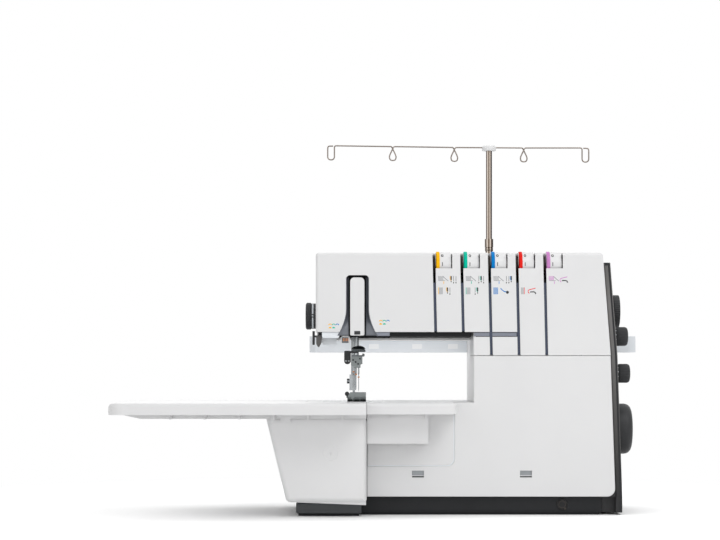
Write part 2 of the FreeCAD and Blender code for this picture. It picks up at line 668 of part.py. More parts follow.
def tension_cover():
    top = f"{slot_x(0)} + {HALF_SLOT}"
    foot = f"{slot_foot(0, 'arm_bottom')} + {HALF_SLOT}"
    outer = [(foot, "arm_bottom"), (top, "arm_top"), ("right_top", "arm_top"),
             ("right_seam", "seam_height"),
             ("column_left", "seam_height"), ("column_left", "arm_bottom")]
    inner = [(f"{foot} + skin", "arm_bottom - 1"), (f"{top} + skin", "arm_top - skin"),
             ("right_top - skin", "arm_top - skin"), ("right_seam - skin", "seam_height - 1"),
             ("column_left + skin", "seam_height - 1"), ("column_left + skin", "arm_bottom - 1")]

    def outer_edges(middle, direction, edge):
        top_front = front_edge(middle, direction, edge) and near(middle.z, "arm_top")
        return top_front or (near(middle.x, "right_top", "needle_x") and near(middle.z, "arm_top"))

    made = shell("xz", outer, inner, ("0", "split_depth"), ("skin", "split_depth + 1"),
                 "edge_round", outer_edges)
    bridge = block((f"{top} - slot_gap + seam", f"{top} + 2 * skin"), ("slot_depth", "split_depth"),
                   ("arm_top - skin", "arm_top"))
    side_gap = block((f"{top} - 1", f"{foot} + 2 * skin"), ("slot_depth + 12", "split_depth + 1"),
                     ("arm_bottom - 1", "arm_top - skin"))
    groove = block(("column_left - 1", RAIL_RIGHT), ("-1", "skin + 1"),
                   ("arm_bottom - rail_height", "arm_bottom"))
    slots = [slot_cutter(i, f"{slot_low(i)} - 2", "slot_depth") for i in range(1, SLOTS)]
    windows = [dial_window(i) for i in range(SLOTS)]
    hole = rod("x", ("right_top - 9", "right_seam + 2"), "knob_y", "length_knob_z", "knob_pin + seam")
    return node("tension_cover", cut(fused(cut(made, side_gap), bridge), groove, *slots, *windows, hole))


REAR_FRONT = "split_depth + seam"


def side_box(z, y, width, height, reach_in="12"):
    """A box that cuts an opening through the right-hand walls."""
    return block((f"{side_x(z)} - {reach_in}", f"{panel_x(z)} + 6"),
                 (f"{y} - ({width}) / 2", f"{y} + ({width}) / 2"),
                 (f"{z} - ({height}) / 2", f"{z} + ({height}) / 2"))


def rear_cover():
    low = "base_top + seam"
    outer = [("arm_left", "arm_rear_bottom"), ("arm_left", "arm_top"), ("right_top", "arm_top"),
             ("right_seam", "seam_height"), ("right_low", low), ("column_left", low),
             ("column_left", "arm_rear_bottom")]
    inner = [("arm_left + skin", "arm_rear_bottom + skin"), ("arm_left + skin", "arm_top - skin"),
             ("right_top - skin", "arm_top - skin"), ("right_seam - skin", "seam_height"),
             ("right_low - skin", "base_top - 1"), ("column_left + skin", "base_top - 1"),
             ("column_left + skin", "arm_rear_bottom + skin")]

    def outer_edges(middle, direction, edge):
        back = near(middle.y, "body_depth", "front_y") and not along(direction, "y")
        corner = near(middle.z, "arm_top") and along(direction, "y")
        return corner or (back and (near(middle.x, "arm_left", "needle_x") or near(middle.z, "arm_top")))

    made = shell("xz", outer, inner, (REAR_FRONT, "body_depth"), ("split_depth", "body_depth - skin"),
                 "edge_round", outer_edges)
    throat = block(("column_left", "column_left + skin"), ("deck_front + seam", "split_depth + 2"),
                   ("deck_height - 22", "seam_height - seam"))
    tools = [block(("-16", "16"), ("split_depth", "presser_y + 14"),
                   ("arm_rear_bottom - 1", "arm_rear_bottom + 3")),
             rod("y", "lifter_x", ("body_depth - skin - 1", "body_depth + 1"), "lifter_z",
                 "knob_pin + pass_gap"),
             rod("x", ("right_top - 3", "right_seam + 2"), "selector_y", "selector_z", "knob_pin + seam"),
             side_box("inlet_z", "inlet_y", "inlet_wide + seam", "inlet_tall + seam"),
             side_box("inlet_z", "switch_y", "switch_wide + 2 * seam", "switch_tall + 2 * seam", "20")]
    return node("rear_cover", cut(fused(made, throat), *tools))


def side_panel():
    wall = "3"
    top_in = f"{side_x('panel_top')} + seam"
    outer = [(top_in, "panel_top"), (f"{top_in} + panel_thick", "panel_top"),
             ("right_seam + seam + panel_thick", "seam_height"),
             ("right_low + seam + panel_thick", "base_top"),
             ("right_low + seam + panel_thick", "foot_height"), ("base_right + seam", "foot_height"),
             ("base_right + seam", "base_top"), ("right_low + seam", "base_top"),
             ("right_seam + seam", "seam_height")]
    reach = f"seam + panel_thick - {wall}"
    inner = [(f"{top_in} - 1", f"panel_top - {wall}"),
             (f"{top_in} + panel_thick - {wall}", f"panel_top - {wall}"),
             (f"right_seam + {reach}", "seam_height"), (f"right_low + {reach}", "base_top"),
             (f"right_low + {reach}", f"foot_height + {wall}"),
             (f"base_right + seam + {wall}", f"foot_height + {wall}"),
             (f"base_right + seam + {wall}", f"base_top - {wall}"), ("right_low - 1", f"base_top - {wall}"),
             ("right_seam - 1", "seam_height")]

    def outer_edges(middle, direction, edge):
        rim = near(middle.y, "0", "front_y") or near(middle.y, "body_depth", "front_y")
        right = middle.x > num(f"needle_x + {side_x('panel_top')} + panel_thick - 1")
        return rim and right and not along(direction, "y") and not along(direction, "x")

    made = rounded(prism("xz", outer, ("0", "body_depth")), "panel_thick / 3", outer_edges)
    controls = [("knob_y", "length_knob_z"), ("knob_y", "feed_knob_z"), ("selector_y", "selector_z")]
    pocket = prism("xz", inner, (wall, f"body_depth - {wall}"))
    bosses = [rod("x", (f"{side_x(z)} - 5", f"{panel_x(z)} + 5"), y, z, "knob_pin + 3")
              for y, z in controls]
    holes = [rod("x", (f"{side_x(z)} - 9", f"{panel_x(z)} + 9"), y, z, "knob_pin + play")
             for y, z in controls]
    holes.append(rod("x", (f"{side_x('shaft_z')} - 9", f"{panel_x('shaft_z')} + 9"), "shaft_y", "shaft_z",
                     "shaft_radius + 4"))
    holes.append(side_box("inlet_z", "inlet_y", "inlet_wide + pass_gap", "inlet_tall + pass_gap"))
    holes.append(side_box("inlet_z", "switch_y", "switch_wide + 2 * pass_gap",
                          "switch_tall + 2 * pass_gap"))
    holes.append(block(("base_right", "right_low + seam"), ("-1", "base_front"),
                       ("foot_height - 1", "base_top + 1")))
    toe = block(("base_right + seam", f"right_low + seam + panel_thick - {wall}"),
                ("base_front", f"base_front + {wall}"),
                ("foot_height", "base_top"))
    return node("side_panel", fused(cut(made, cut(pocket, *bosses), *holes), toe))


HOPPER_ROUND = "6"


def bed_casing():
    outer = [("hopper_left_low", "hopper_low"), ("hopper_left_top", "hopper_top"),
             ("hopper_right", "hopper_top"), ("hopper_right", "hopper_low")]
    inner = [("hopper_left_low + skin", "hopper_low + skin"),
             ("hopper_left_top + skin", "hopper_top - skin"),
             ("hopper_right - skin", "hopper_top - skin"), ("hopper_right - skin", "hopper_low + skin")]

    def corner(front):
        def picks(middle, direction, edge):
            left_foot = middle.x < num("needle_x + hopper_left_low + 5") and along(direction, "y") and (
                middle.z < num("hopper_low + 9"))
            upright = near(middle.y, front, "front_y") and abs(direction.z) > 0.9
            low_front = near(middle.y, front, "front_y") and middle.z < num("hopper_low + 9")
            return left_foot or upright or low_front
        return picks

    hull = rounded(prism("xz", outer, ("hopper_front", "(body_depth - deck_inset)")), HOPPER_ROUND,
                   corner("hopper_front"))
    hollow = rounded(prism("xz", inner, ("hopper_front + skin", "(body_depth - deck_inset) - skin")),
                     f"{HOPPER_ROUND} - skin", corner("hopper_front + skin"))
    tools = [hollow,
             block(("hopper_right - 2 * skin", "hopper_right + 1"),
                   ("deck_front - seam", "(body_depth - deck_inset) - skin"),
                   ("hopper_low - 1", "hopper_top - skin")),
             block(("base_left - seam", "hopper_right + 1"),
                   ("base_front - seam", "(body_depth - base_inset) + seam"),
                   ("0", "base_top + seam")),
             block(("deck_left - seam", "hopper_right + 1"),
                   ("deck_front - seam", "(body_depth - deck_inset) + 1"),
                   ("hopper_top - skin - 1", "hopper_top + 1")),
             thumb_recess()]
    back = block(("hopper_right - 1", "column_left - seam"),
                 ("(body_depth - deck_inset) - skin", "(body_depth - deck_inset)"),
                 ("base_top + seam", "hopper_top - skin"))
    return node("bed_casing", fused(cut(hull, *tools), back))


def thumb_recess():
    """A shallow finger scoop in the bed casing's front."""
    return turned("y", [("0", "0"), ("2", "0"), ("1", "8"), ("0", "10")], "-31", "hopper_front - 0.6", "78")


def bed_deck():
    low = "hopper_top - 2"
    edge = "1.5"
    whole = cut(
        block(("deck_left", "column_left - seam"), ("deck_front", "(body_depth - deck_inset)"),
              (low, "deck_height")),
        block(("deck_left + skin", "column_left + 1"),
              ("deck_front + skin", "(body_depth - deck_inset) - skin"),
              (f"{low} - 1", "deck_height - deck_skin")),
        block(("plate_left", "plate_right"), ("plate_front", "plate_back"),
              ("deck_height - plate_thick", "deck_height + 1")),
        block((f"plate_left + {edge}", f"plate_right - {edge}"),
              (f"plate_front + {edge}", f"plate_back - {edge}"),
              ("deck_height - 2 * deck_skin", "deck_height + 1")))
    return node("bed_deck", whole)


def needle_plate():
    half = "pass_gap / 2"
    z = ("deck_height - plate_thick", "deck_height")
    through = ("deck_height - plate_thick - 1", "deck_height + 1")
    plate = block((f"plate_left + {half}", f"plate_right - {half}"),
                  (f"plate_front + {half}", f"plate_back - {half}"), z)
    slots = [block(("-2 * needle_pitch", "2 * needle_pitch"), ("needle_y - 2.5", "needle_y + 2.5"),
                   through)]
    slots += [block((f"{x} - 1.7", f"{x} + 1.7"), ("61", "102"), through) for x in ("-8", "8")]
    slots.append(block(("knife_x - 2", "knife_x + 2"), ("needle_y - 12", "needle_y + 2"), through))
    return node("needle_plate", cut(plate, *slots))


# Looper cover, its insert and the extension table

COVER_LOW = "base_top + 0.6"


def looper_cover():
    top = "seam_height - seam"
    step = "deck_height - seam"
    low = "insert_low - seam"
    outer = [("insert_left", COVER_LOW), (side_x(COVER_LOW), COVER_LOW), ("right_seam", top),
             ("column_left", top), ("column_left", step), ("insert_right + seam", step),
             ("insert_right + seam", low), ("insert_left", low)]
    inner = [("insert_left + skin", "base_top - 1"),
             (f"{side_x(COVER_LOW)} - skin - cover_corner", "base_top - 1"),
             (f"{side_x(COVER_LOW)} - skin", "base_top + cover_corner"),
             ("right_seam - skin", f"{top} - skin"),
             ("column_left + skin", f"{top} - skin"), ("column_left + skin", f"{step} - skin"),
             ("insert_right + seam + skin", f"{step} - skin"),
             ("insert_right + seam + skin", f"{low} - skin"),
             ("insert_left + skin", f"{low} - skin")]

    def corner(middle, direction, edge):
        return along(direction, "y") and middle.x > num("needle_x + 300") and middle.z < num("base_top + 5")

    def insert_seat(middle, direction, edge):
        side = near(middle.x, "insert_right + seam", "needle_x")
        return along(direction, "y") and side and near(middle.z, low)

    hull = rounded(rounded(prism("xz", outer, ("0", "cover_depth")), "cover_corner", corner),
                   "insert_corner", insert_seat)
    hull = rounded(hull, "small_round", front_edge)
    hollow = prism("xz", inner, ("skin", "cover_depth + 1"))
    hooks = [block((x, f"{x} + slot_wide"), ("-1", "skin + 1"), ("slot_low", "slot_low + slot_tall"))
             for x in ("slot_left", "slot_right")]
    knuckles = []
    for x in ("hinge_left", "hinge_right"):
        knuckles.append(rod("x", (f"{x} - 5", f"{x} + lug_width + 5"), "hinge_y", "hinge_z", "hinge_pin"))
        for low_x, high_x in ((f"{x} - 5", f"{x} - 1"), (f"{x} + lug_width + 1", f"{x} + lug_width + 5")):
            knuckles.append(block((low_x, high_x), ("skin - 0.5", "hinge_y + 2"),
                                  ("hinge_z - 3", "hinge_z + 3")))
    return node("looper_cover", fused(cut(hull, hollow, *hooks), *knuckles))


LEDGE_LOW = "deck_height - table_skirt"
LEDGE_UNDER = "deck_height - table_skin"
RIB_LOW = "hopper_top + 0.4"


def cover_insert():
    left, back = "hopper_right + 1.2", "deck_front - 0.6"
    right, rim = "insert_right - 0.1", "-0.6"
    panel_outline = [("insert_left + seam", "insert_low + seam"),
                     ("insert_right - seam", "insert_low + seam"),
                     ("insert_right - seam", f"{LEDGE_UNDER} + 1"),
                     ("insert_left + seam", f"{LEDGE_UNDER} + 1")]

    def panel_corner(middle, direction, edge):
        low = middle.z < num("insert_low + 2")
        return along(direction, "y") and low and middle.x > num("needle_x + 60")

    panel = rounded(prism("xz", panel_outline, (f"{rim} + 0.9", "3")), "insert_corner", panel_corner)
    plan = [(left, "ledge_front"), ("ledge_right", "ledge_front"), ("ledge_right", rim), (right, rim),
            (right, back), (left, back)]
    wall = "skin"
    inside = [(f"{left} + {wall}", f"ledge_front + {wall}"),
              (f"ledge_right - {wall}", f"ledge_front + {wall}"),
              (f"ledge_right - {wall}", f"{rim} - {wall}"), (f"{right} - {wall}", f"{rim} - {wall}"),
              (f"{right} - {wall}", f"{back} - {wall}"), (f"{left} + {wall}", f"{back} - {wall}")]

    def plan_corner(middle, direction, edge):
        return along(direction, "z") and middle.x > num("needle_x + 100") and middle.y < num("front_y - 20")

    def top_front(middle, direction, edge):
        front = middle.y < num("front_y - 3")
        return near(middle.z, "deck_height") and front and not near(middle.x, left, "needle_x")

    ledge = rounded(rounded(xy_prism(plan, (LEDGE_LOW, "deck_height")), "ledge_corner", plan_corner),
                    "table_edge", top_front)
    hollow = rounded(xy_prism(inside, (f"{LEDGE_LOW} - 1", LEDGE_UNDER)), f"ledge_corner - {wall}",
                     plan_corner)
    chute = cut(block(("insert_left", "chute_right"), ("chute_front", "1"),
                      ("chute_low", f"{LEDGE_UNDER} + 1")),
                block(("insert_left + 2", "chute_right - 2"), ("chute_front + 2", "0.3"),
                      ("chute_low - 1", "124")))
    ribs = [block((f"{x} - rib_thick / 2", f"{x} + rib_thick / 2"),
                  ("ledge_front + rib_inset", "chute_front + 1"),
                  (RIB_LOW, f"{LEDGE_UNDER} + 1"))
            for x in ("insert_left + 30", "insert_left + 30 + rib_pitch")]
    return node("cover_insert", fused(cut(ledge, hollow), panel, chute, *ribs))


def xy_prism(points, span):
    return prism("xy", points, span)


def extension_table():
    right, notch_x = "hopper_right + 0.5", "deck_left - 0.6"
    notch_y, back = "deck_front - 0.6", "(body_depth - deck_inset) + 3"
    plan = [("table_left", "table_front"), (right, "table_front"), (right, notch_y), (notch_x, notch_y),
            (notch_x, back), ("table_left", back)]
    wall = "table_skin"
    inside = [(f"table_left + {wall}", f"table_front + {wall}"),
              (f"{right} - {wall}", f"table_front + {wall}"),
              (f"{right} - {wall}", f"{notch_y} - {wall}"), (f"{notch_x} - {wall}", f"{notch_y} - {wall}"),
              (f"{notch_x} - {wall}", f"{back} - {wall}"), (f"table_left + {wall}", f"{back} - {wall}")]

    def left_corners(middle, direction, edge):
        return along(direction, "z") and middle.x < num("needle_x + table_left + 20")

    def upper_edge(middle, direction, edge):
        front = middle.y < num("front_y + table_front + 30")
        rear = middle.y > num("front_y + (body_depth - deck_inset) - 20")
        left = middle.x < num("needle_x + table_left + 20")
        joint = near(middle.x, right, "needle_x") or near(middle.x, notch_x, "needle_x")
        return near(middle.z, "deck_height") and (front or rear or left) and not joint

    top = rounded(rounded(xy_prism(plan, (LEDGE_LOW, "deck_height")), "table_corner", left_corners),
                  "table_edge", upper_edge)
    hollow = rounded(xy_prism(inside, (f"{LEDGE_LOW} - 1", LEDGE_UNDER)), "table_corner - table_skin",
                     left_corners)
    ribs = []
    for number in range(6):
        x = f"(table_left + rib_start + rib_pitch * {number})"
        end = f"{notch_y} - 1" if number > 3 else "(body_depth - deck_inset) - 12"
        ribs.append(block((f"{x} - rib_thick / 2", f"{x} + rib_thick / 2"),
                          ("table_front + rib_inset", end),
                          (RIB_LOW, f"{LEDGE_UNDER} + 1")))
    latch = block(("latch_x - latch_width / 2", "latch_x + latch_width / 2"),
                  ("hopper_front - 5", "hopper_front - 0.8"),
                  ("hopper_top - 4", f"{LEDGE_UNDER} + 1"))
    start, end = "table_left + beam_start", right
    side = [(start, f"{LEDGE_UNDER} + 1"), (start, LEDGE_LOW), (f"{start} + beam_slope", RIB_LOW),
            (end, RIB_LOW),
            (end, f"{LEDGE_UNDER} + 1")]
    beam = prism("xz", side, ("table_front + beam_inset", "table_front + beam_inset + rib_thick"))
    return node("extension_table", fused(cut(top, hollow), *ribs, latch, beam))


# Take-up guard, inner chassis and tension units

def take_up_guard():

    def upper(middle, direction, edge):
        return along(direction, "y") and near(middle.z, "guard_top")

    face = rounded(block(("guard_left", "guard_right"), ("0.6", "6"), ("guard_low", "guard_top")),
                   "recess_round", upper)
    middle = "(guard_left + guard_right) / 2"
    web = block((f"{middle} - 2", f"{middle} + 2"), ("5", "recess_depth"),
                ("guard_low + 6", "guard_top - 6"))
    return node("take_up_guard", fused(face, web))


BANK_RIGHT = f"{slot_x(4)} + 30"
BACK_PLATE = ("38", "42")
UNDERSIDE = "arm_bottom - 4"


def tension_housing():
    inside_left, inside_right = "arm_left + skin + seam", "column_left - 3"
    rim = "skin + seam"
    liner = block(("recess_left - recess_flare - 2", "recess_right + recess_flare + 2"),
                  (rim, "recess_depth + 2"),
                  ("arm_bottom - rail_height", "recess_top + 3"))
    floor = block((inside_left, inside_right), (rim, "split_depth - 2"),
                  (UNDERSIDE, "arm_bottom - pass_gap"))
    rail = block(("42", inside_right), ("3", "split_depth - 2"), ("arm_bottom - rail_height", UNDERSIDE))
    plate = block((f"{slot_x(0)} - 8", BANK_RIGHT), BACK_PLATE, ("arm_bottom + seam", "arm_top - skin - 1"))
    plate_foot = block((f"{slot_x(0)} - 8", inside_right), BACK_PLATE, (UNDERSIDE, "arm_bottom + 1"))
    lower_plate = block(("column_left + skin + 1", BANK_RIGHT), BACK_PLATE,
                        ("seam_height + 4", "arm_bottom + 1"))
    web = block(("20", f"{slot_x(0)}"), BACK_PLATE, ("arm_bottom + 13", "arm_top - 25"))
    link = block(("20", "recess_right + recess_flare + 2"), ("recess_depth", BACK_PLATE[1]),
                 ("arm_bottom + 13", "arm_top - 25"))
    arms = [block((x, f"{x} + 6"), (BACK_PLATE[0], ARM_BEAM[0]), ("rock_z + 20", "arm_top - 27"))
            for x in ("64", "180")]
    ears = [block((f"{x} - 1.5", f"{x} + 1.5"), ("10", BACK_PLATE[1]),
                  (f"{DIAL_Z} - 10", "arm_top - skin - 1"))
            for x in EAR_PLACES]
    pocket = recess_cutter("arm_bottom - rail_height - 1", ("-1", "recess_depth"))
    bar_opening = block(("-16", "16"), ("needle_y - 11", "split_depth"),
                        ("arm_bottom - rail_height - 1", "arm_bottom + 1"))
    bores = [rod("x", (f"{x} - 3", f"{x} + 3"), DIAL_Y, DIAL_Z, "tension_pin") for x in EAR_PLACES]
    whole = fused(liner, floor, rail, plate, plate_foot, lower_plate, web, link, *arms, *ears)
    return node("tension_housing", cut(whole, pocket, bar_opening, *bores))


EAR_PLACES = [f"({slot_x(0)} - 4)"] + [f"({slot_x(i)} + 28)" for i in range(SLOTS)]


def tension_units():
    shaft = rod("x", (f"{slot_x(0)} - 5.5", f"{slot_x(4)} + 29.5"), DIAL_Y, DIAL_Z, "tension_pin")
    node("tension_shaft", shaft)
    discs = []
    for number in range(SLOTS):
        x = slot_foot(number, DIAL_Z)
        for low, high in ((f"{x} - 1.1", f"{x} - 0.3"), (f"{x} + 0.3", f"{x} + 1.1")):
            discs.append(cut(rod("x", (low, high), DIAL_Y, DIAL_Z, "disc_radius"),
                             rod("x", (f"{low} - 1", f"{high} + 1"), DIAL_Y, DIAL_Z, "tension_pin + play")))
    node("tension_discs", group(*discs))
    for number in range(SLOTS):
        left = f"{slot_x(number)} + dial_from_slot"
        bore = "tension_pin + play"
        wheel = turned("x", [("0", bore), ("0", "dial_radius - 1"), ("1", "dial_radius"),
                             ("4.5", "dial_radius"),
                             ("4.5", "dial_radius - 0.8"), ("dial_width - 1", "dial_radius - 0.8"),
                             ("dial_width", "dial_radius - 1.8"), ("dial_width", bore)], left, DIAL_Y,
                             DIAL_Z)
        node(f"tension_dial_{number + 1}", wheel)


def head_details():
    prongs = [block(("arm_left - 5", "arm_left - 1.8"), ("20", "26"), ("arm_bottom - 19", UNDERSIDE)),
              block(("arm_left + 0.2", "arm_left + 7"), ("20", "26"), ("arm_bottom - 19", UNDERSIDE)),
              block(("arm_left - 5", "arm_left + 7"), ("20", "26"), ("arm_bottom - 9", UNDERSIDE))]
    node("thread_cutter", fused(*prongs))
    node("sewing_lamp", block(("-42", "-26"), ("30", "52"), ("arm_bottom - 8", UNDERSIDE)))
    stem = block(("-18", "-10"), ("recess_depth", "recess_depth + 2"),
                 ("arm_bottom - 14", "arm_bottom - rail_height"))
    loop = cut(block(("-18", "-8"), ("10", "recess_depth + 2"), ("arm_bottom - 14", "arm_bottom - 12.5")),
               block(("-15", "-11"), ("12.5", "17"), ("arm_bottom - 15", "arm_bottom - 12")))
    node("needle_thread_guide", fused(stem, loop))


# Drive

def drive():
    hub_out = f"{panel_x('shaft_z')} + control_gap"
    node("main_shaft", rod("x", ("-56", f"{hub_out} + wheel_width - 4"), "shaft_y", "shaft_z",
                           "shaft_radius"))
    bore = "shaft_radius + play"
    wheel = turned("x", [("-4", bore), ("-4", "shaft_radius + 3"), ("0", "shaft_radius + 3"),
                         ("0", "wheel_radius - 3"),
                         ("3", "wheel_radius"), ("wheel_width - 5", "wheel_radius"),
                         ("wheel_width", "wheel_radius - 5"), ("wheel_width", "wheel_radius - 9"),
                         ("wheel_width - 4", "wheel_radius - 11"), ("wheel_width - 4", bore)],
                   hub_out, "shaft_y", "shaft_z")
    node("handwheel", wheel)
    node("drive_pulley", turned("x", [("0", bore), ("0", "pulley_radius + 3"), ("0.8", "pulley_radius + 3"),
                                      ("0.8", "pulley_radius"), ("belt_width + 1.4", "pulley_radius"),
                                      ("belt_width + 1.4", bore)], "296", "shaft_y", "shaft_z"))
    small = rod("x", ("296", "296 + belt_width + 1.4"), "(body_depth - motor_inset)", "motor_z",
                "motor_pulley_radius")
    stub = rod("x", ("283", "297"), "(body_depth - motor_inset)", "motor_z", "motor_pin")
    node("motor_pulley", fused(small, stub))
    node("motor", rod("x", ("282 - motor_length", "282"), "(body_depth - motor_inset)", "motor_z",
                      "motor_radius"))
    node("drive_belt", belt())


def belt():
    """A belt loop round both pulleys, made of arcs and their outer tangents."""
    big, small = at("0", "shaft_y", "shaft_z"), at("0", "(body_depth - motor_inset)", "motor_z")
    start = num("needle_x + 297.1")

    def loop(extra):
        radii = num("pulley_radius") + extra, num("motor_pulley_radius") + extra
        reach = small - big
        lead = math.atan2(reach.z, reach.y)
        swing = math.acos((radii[0] - radii[1]) / math.hypot(reach.y, reach.z))

        def rim(centre, radius, angle):
            return Vector(start, centre.y + radius * math.cos(angle), centre.z + radius * math.sin(angle))

        ends = [[rim(c, r, lead + swing), rim(c, r, lead - swing)] for c,
                r in ((big, radii[0]), (small, radii[1]))]
        edges = [Part.Arc(ends[0][0], rim(big, radii[0], lead + math.pi), ends[0][1]).toShape(),
                 Part.makeLine(ends[0][1], ends[1][1]),
                 Part.Arc(ends[1][1], rim(small, radii[1], lead), ends[1][0]).toShape(),
                 Part.makeLine(ends[1][0], ends[0][0])]
        return Part.Face(Part.Wire(edges))

    width = Vector(num("belt_width"), 0, 0)
    gap = num("pass_gap")
    piece = doc.addObject("Part::Feature", new_name("belt"))
    piece.Shape = loop(gap + num("belt_thick")).extrude(width).cut(loop(gap).extrude(width))
    return piece


ROCK_TILT = "atan(needle_stroke / 2 / ((body_depth - rock_inset) - needle_y))"
LEVER = ("7", "12")


COMB_LOW = "clamp_top + 5.5"


def needle_drive():
    shaft = rod("x", ("-6", "150"), "(body_depth - rock_inset)", "rock_z", "rock_radius")
    reach = "((body_depth - rock_inset) - needle_y)"
    pin = "2.5"
    lever = doc.addObject("Part::Box", new_name("lever"))
    lever.setExpression("Length", cell(f"{LEVER[1]} - {LEVER[0]}"))
    lever.setExpression("Width", cell(f"{reach} + 8"))
    lever.setExpression("Height", "14")
    slot = doc.addObject("Part::Box", new_name("lever_slot"))
    slot.setExpression("Length", cell(f"{LEVER[1]} - {LEVER[0]} + 2"))
    slot.setExpression("Width", "18")
    slot.setExpression("Height", f"2 * {pin} + 1.2")
    turn = Rotation(Vector(1, 0, 0), -num(ROCK_TILT))
    centre = at(LEVER[0], "(body_depth - rock_inset)", "rock_z")
    lever.Placement = Placement(centre + turn.multVec(Vector(0, -num(f"{reach} + 8"), -7)), turn)
    slot.Placement = Placement(centre + turn.multVec(Vector(-1, -num(f"{reach} + 9"), -3.1)), turn)
    hub = rod("x", LEVER, "(body_depth - rock_inset)", "rock_z", "rock_radius + 5")
    node("arm_shaft", fused(shaft, hub, cut(lever, slot)))
    head = "(rock_z + needle_stroke / 2)"
    bar = rod("z", "0", "needle_y", ("clamp_low + 4", f"{UPPER_GUIDE[1]} + needle_stroke + 2"),
              "bar_radius")
    crosshead = block(("-6", "6"), ("needle_y - 6", "needle_y + 6"), (f"{head} - 5.5", f"{head} + 5.5"))
    peg = rod("x", ("5", f"{LEVER[1]} + 2"), "needle_y", head, pin)
    node("needle_bar", fused(bar, crosshead, peg))
    clamp = cut(block(("clamp_left", "clamp_right"), ("needle_y - 7", "needle_y + 7"),
                      ("clamp_low", "clamp_top")),
                rod("z", "0", "needle_y", ("clamp_low + 3", "clamp_top + 1"), "bar_radius + play"))
    screws = [rod("y", x, ("needle_y - 10", "needle_y - 6"), "clamp_low + 6", "1.6")
              for x in ("-needle_pitch * 1.4", "needle_pitch * 1.4")]
    node("needle_clamp", fused(clamp, *screws))
    dome = turned("z", [("0", "0"), ("0", "comb_radius"), ("comb_tall - 3", "comb_radius - 1"),
                        ("comb_tall", "comb_radius - 3.5"), ("comb_tall", "0")], "comb_x", "needle_y",
                        COMB_LOW)
    threader = rounded(block(("threader_x - threader_wide / 2", "threader_x + threader_wide / 2"),
                             ("needle_y - 4", "needle_y + 4"),
                             (f"{COMB_LOW} - threader_drop", f"{COMB_LOW} + 1.5")),
                       "threader_wide / 2 - 0.2",
                       lambda middle, direction,
                       edge: along(direction, "y") and middle.z < num(COMB_LOW) - 2)
    arm = block(("threader_x", "comb_x"), ("needle_y - 4", "needle_y + 4"), (COMB_LOW, f"{COMB_LOW} + 1.5"))
    bar_room = rod("z", "0", "needle_y", ("clamp_top", "clamp_top + 20"), "bar_radius + play")
    node("needle_guide_comb", cut(fused(dome, threader, arm), bar_room))
    needles = []
    for number in range(3):
        x = f"needle_pitch * ({number} - 1)"
        tip = f"needle_tip + needle_step * (2 - {number})"
        needles.append(turned("z", [("0", "0"), ("4", "needle_radius"),
                                    (f"clamp_low - 9 - ({tip})", "needle_radius"),
                                    (f"clamp_low - 7 - ({tip})", "2 * needle_radius"),
                                    (f"clamp_low - ({tip})", "2 * needle_radius"),
                                    (f"clamp_low - ({tip})", "0")],
                              x, "needle_y", tip))
    node("needles", group(*needles))


def presser():
    bar = rod("z", "presser_x", "presser_y", ("deck_height + 29", "arm_top - 15"), "bar_radius")
    ankle = cut(fused(block(("presser_x - 5.5", "presser_x + 3"), ("presser_y - 9", "presser_y + 7"),
                            ("deck_height + foot_tall + 2.4", "deck_height + 34")),
                      block(("presser_x - 1.5", "presser_x + 1.5"), ("presser_y - 4", "presser_y + 4"),
                            ("deck_height + 4.5", "deck_height + foot_tall + 3"))),
                rod("x", ("presser_x - 3", "presser_x + 3"), "presser_y", "deck_height + 8", "1.5 + play"))
    screw = rod("x", ("presser_x - 8.8", "presser_x - 4.5"), "presser_y", "deck_height + 25.5", "3.2")
    node("presser_bar", fused(bar, ankle, screw))
    left, right = "0.75 - foot_wide / 2", "0.75 + foot_wide / 2"
    back, front = "presser_y + 0.5", "presser_y + 0.5 - foot_long"
    low = "deck_height + pass_gap"
    side = [(front, f"{low} + 4"), (f"{front} + 7", low), (back, low), (back, f"{low} + foot_tall - 3"),
            (f"{back} - 6", f"{low} + foot_tall - 0.3"), (f"{front} + 20", f"{low} + foot_tall - 1"),
            (f"{front} + 8", f"{low} + sole_thick + 2")]
    hull = prism("yz", side, (left, right))
    ankle_room = block(("presser_x - 2", "presser_x + 2"), ("presser_y - 7", "presser_y + 2"),
                       ("deck_height + 3.4", "deck_height + 20"))
    needle_slot = block(("-2.4 * needle_pitch", "2.4 * needle_pitch"), ("needle_y - 7", "needle_y + 5"),
                        ("deck_height - 1", "deck_height + 20"))
    thread_slot = block(("-8.4", "-7"), (f"{front} - 1", "needle_y"),
                        ("deck_height - 1", "deck_height + 20"))
    pin = rod("x", ("presser_x - 3", "presser_x + 3"), "presser_y", "deck_height + 8", "1.5")
    heel = rod("x", (f"{left} - 1", f"{right} + 1"), "presser_y + 2", f"{low} - 1.5", "3")
    node("presser_foot", fused(cut(hull, ankle_room, needle_slot, thread_slot, heel), pin))
    stem = rod("y", "lifter_x", (f"{ARM_BEAM[0]} - 4", "body_depth + 6"), "lifter_z", "knob_pin")
    arm = rounded(block(("lifter_x - 58", "lifter_x + 7"), ("body_depth + 2", "body_depth + 8"),
                        ("lifter_z - 6", "lifter_z + 6")),
                  "4", lambda middle, direction, edge: along(direction, "y"))
    node("presser_lifter", fused(stem, arm))


# Feed, loopers and knives

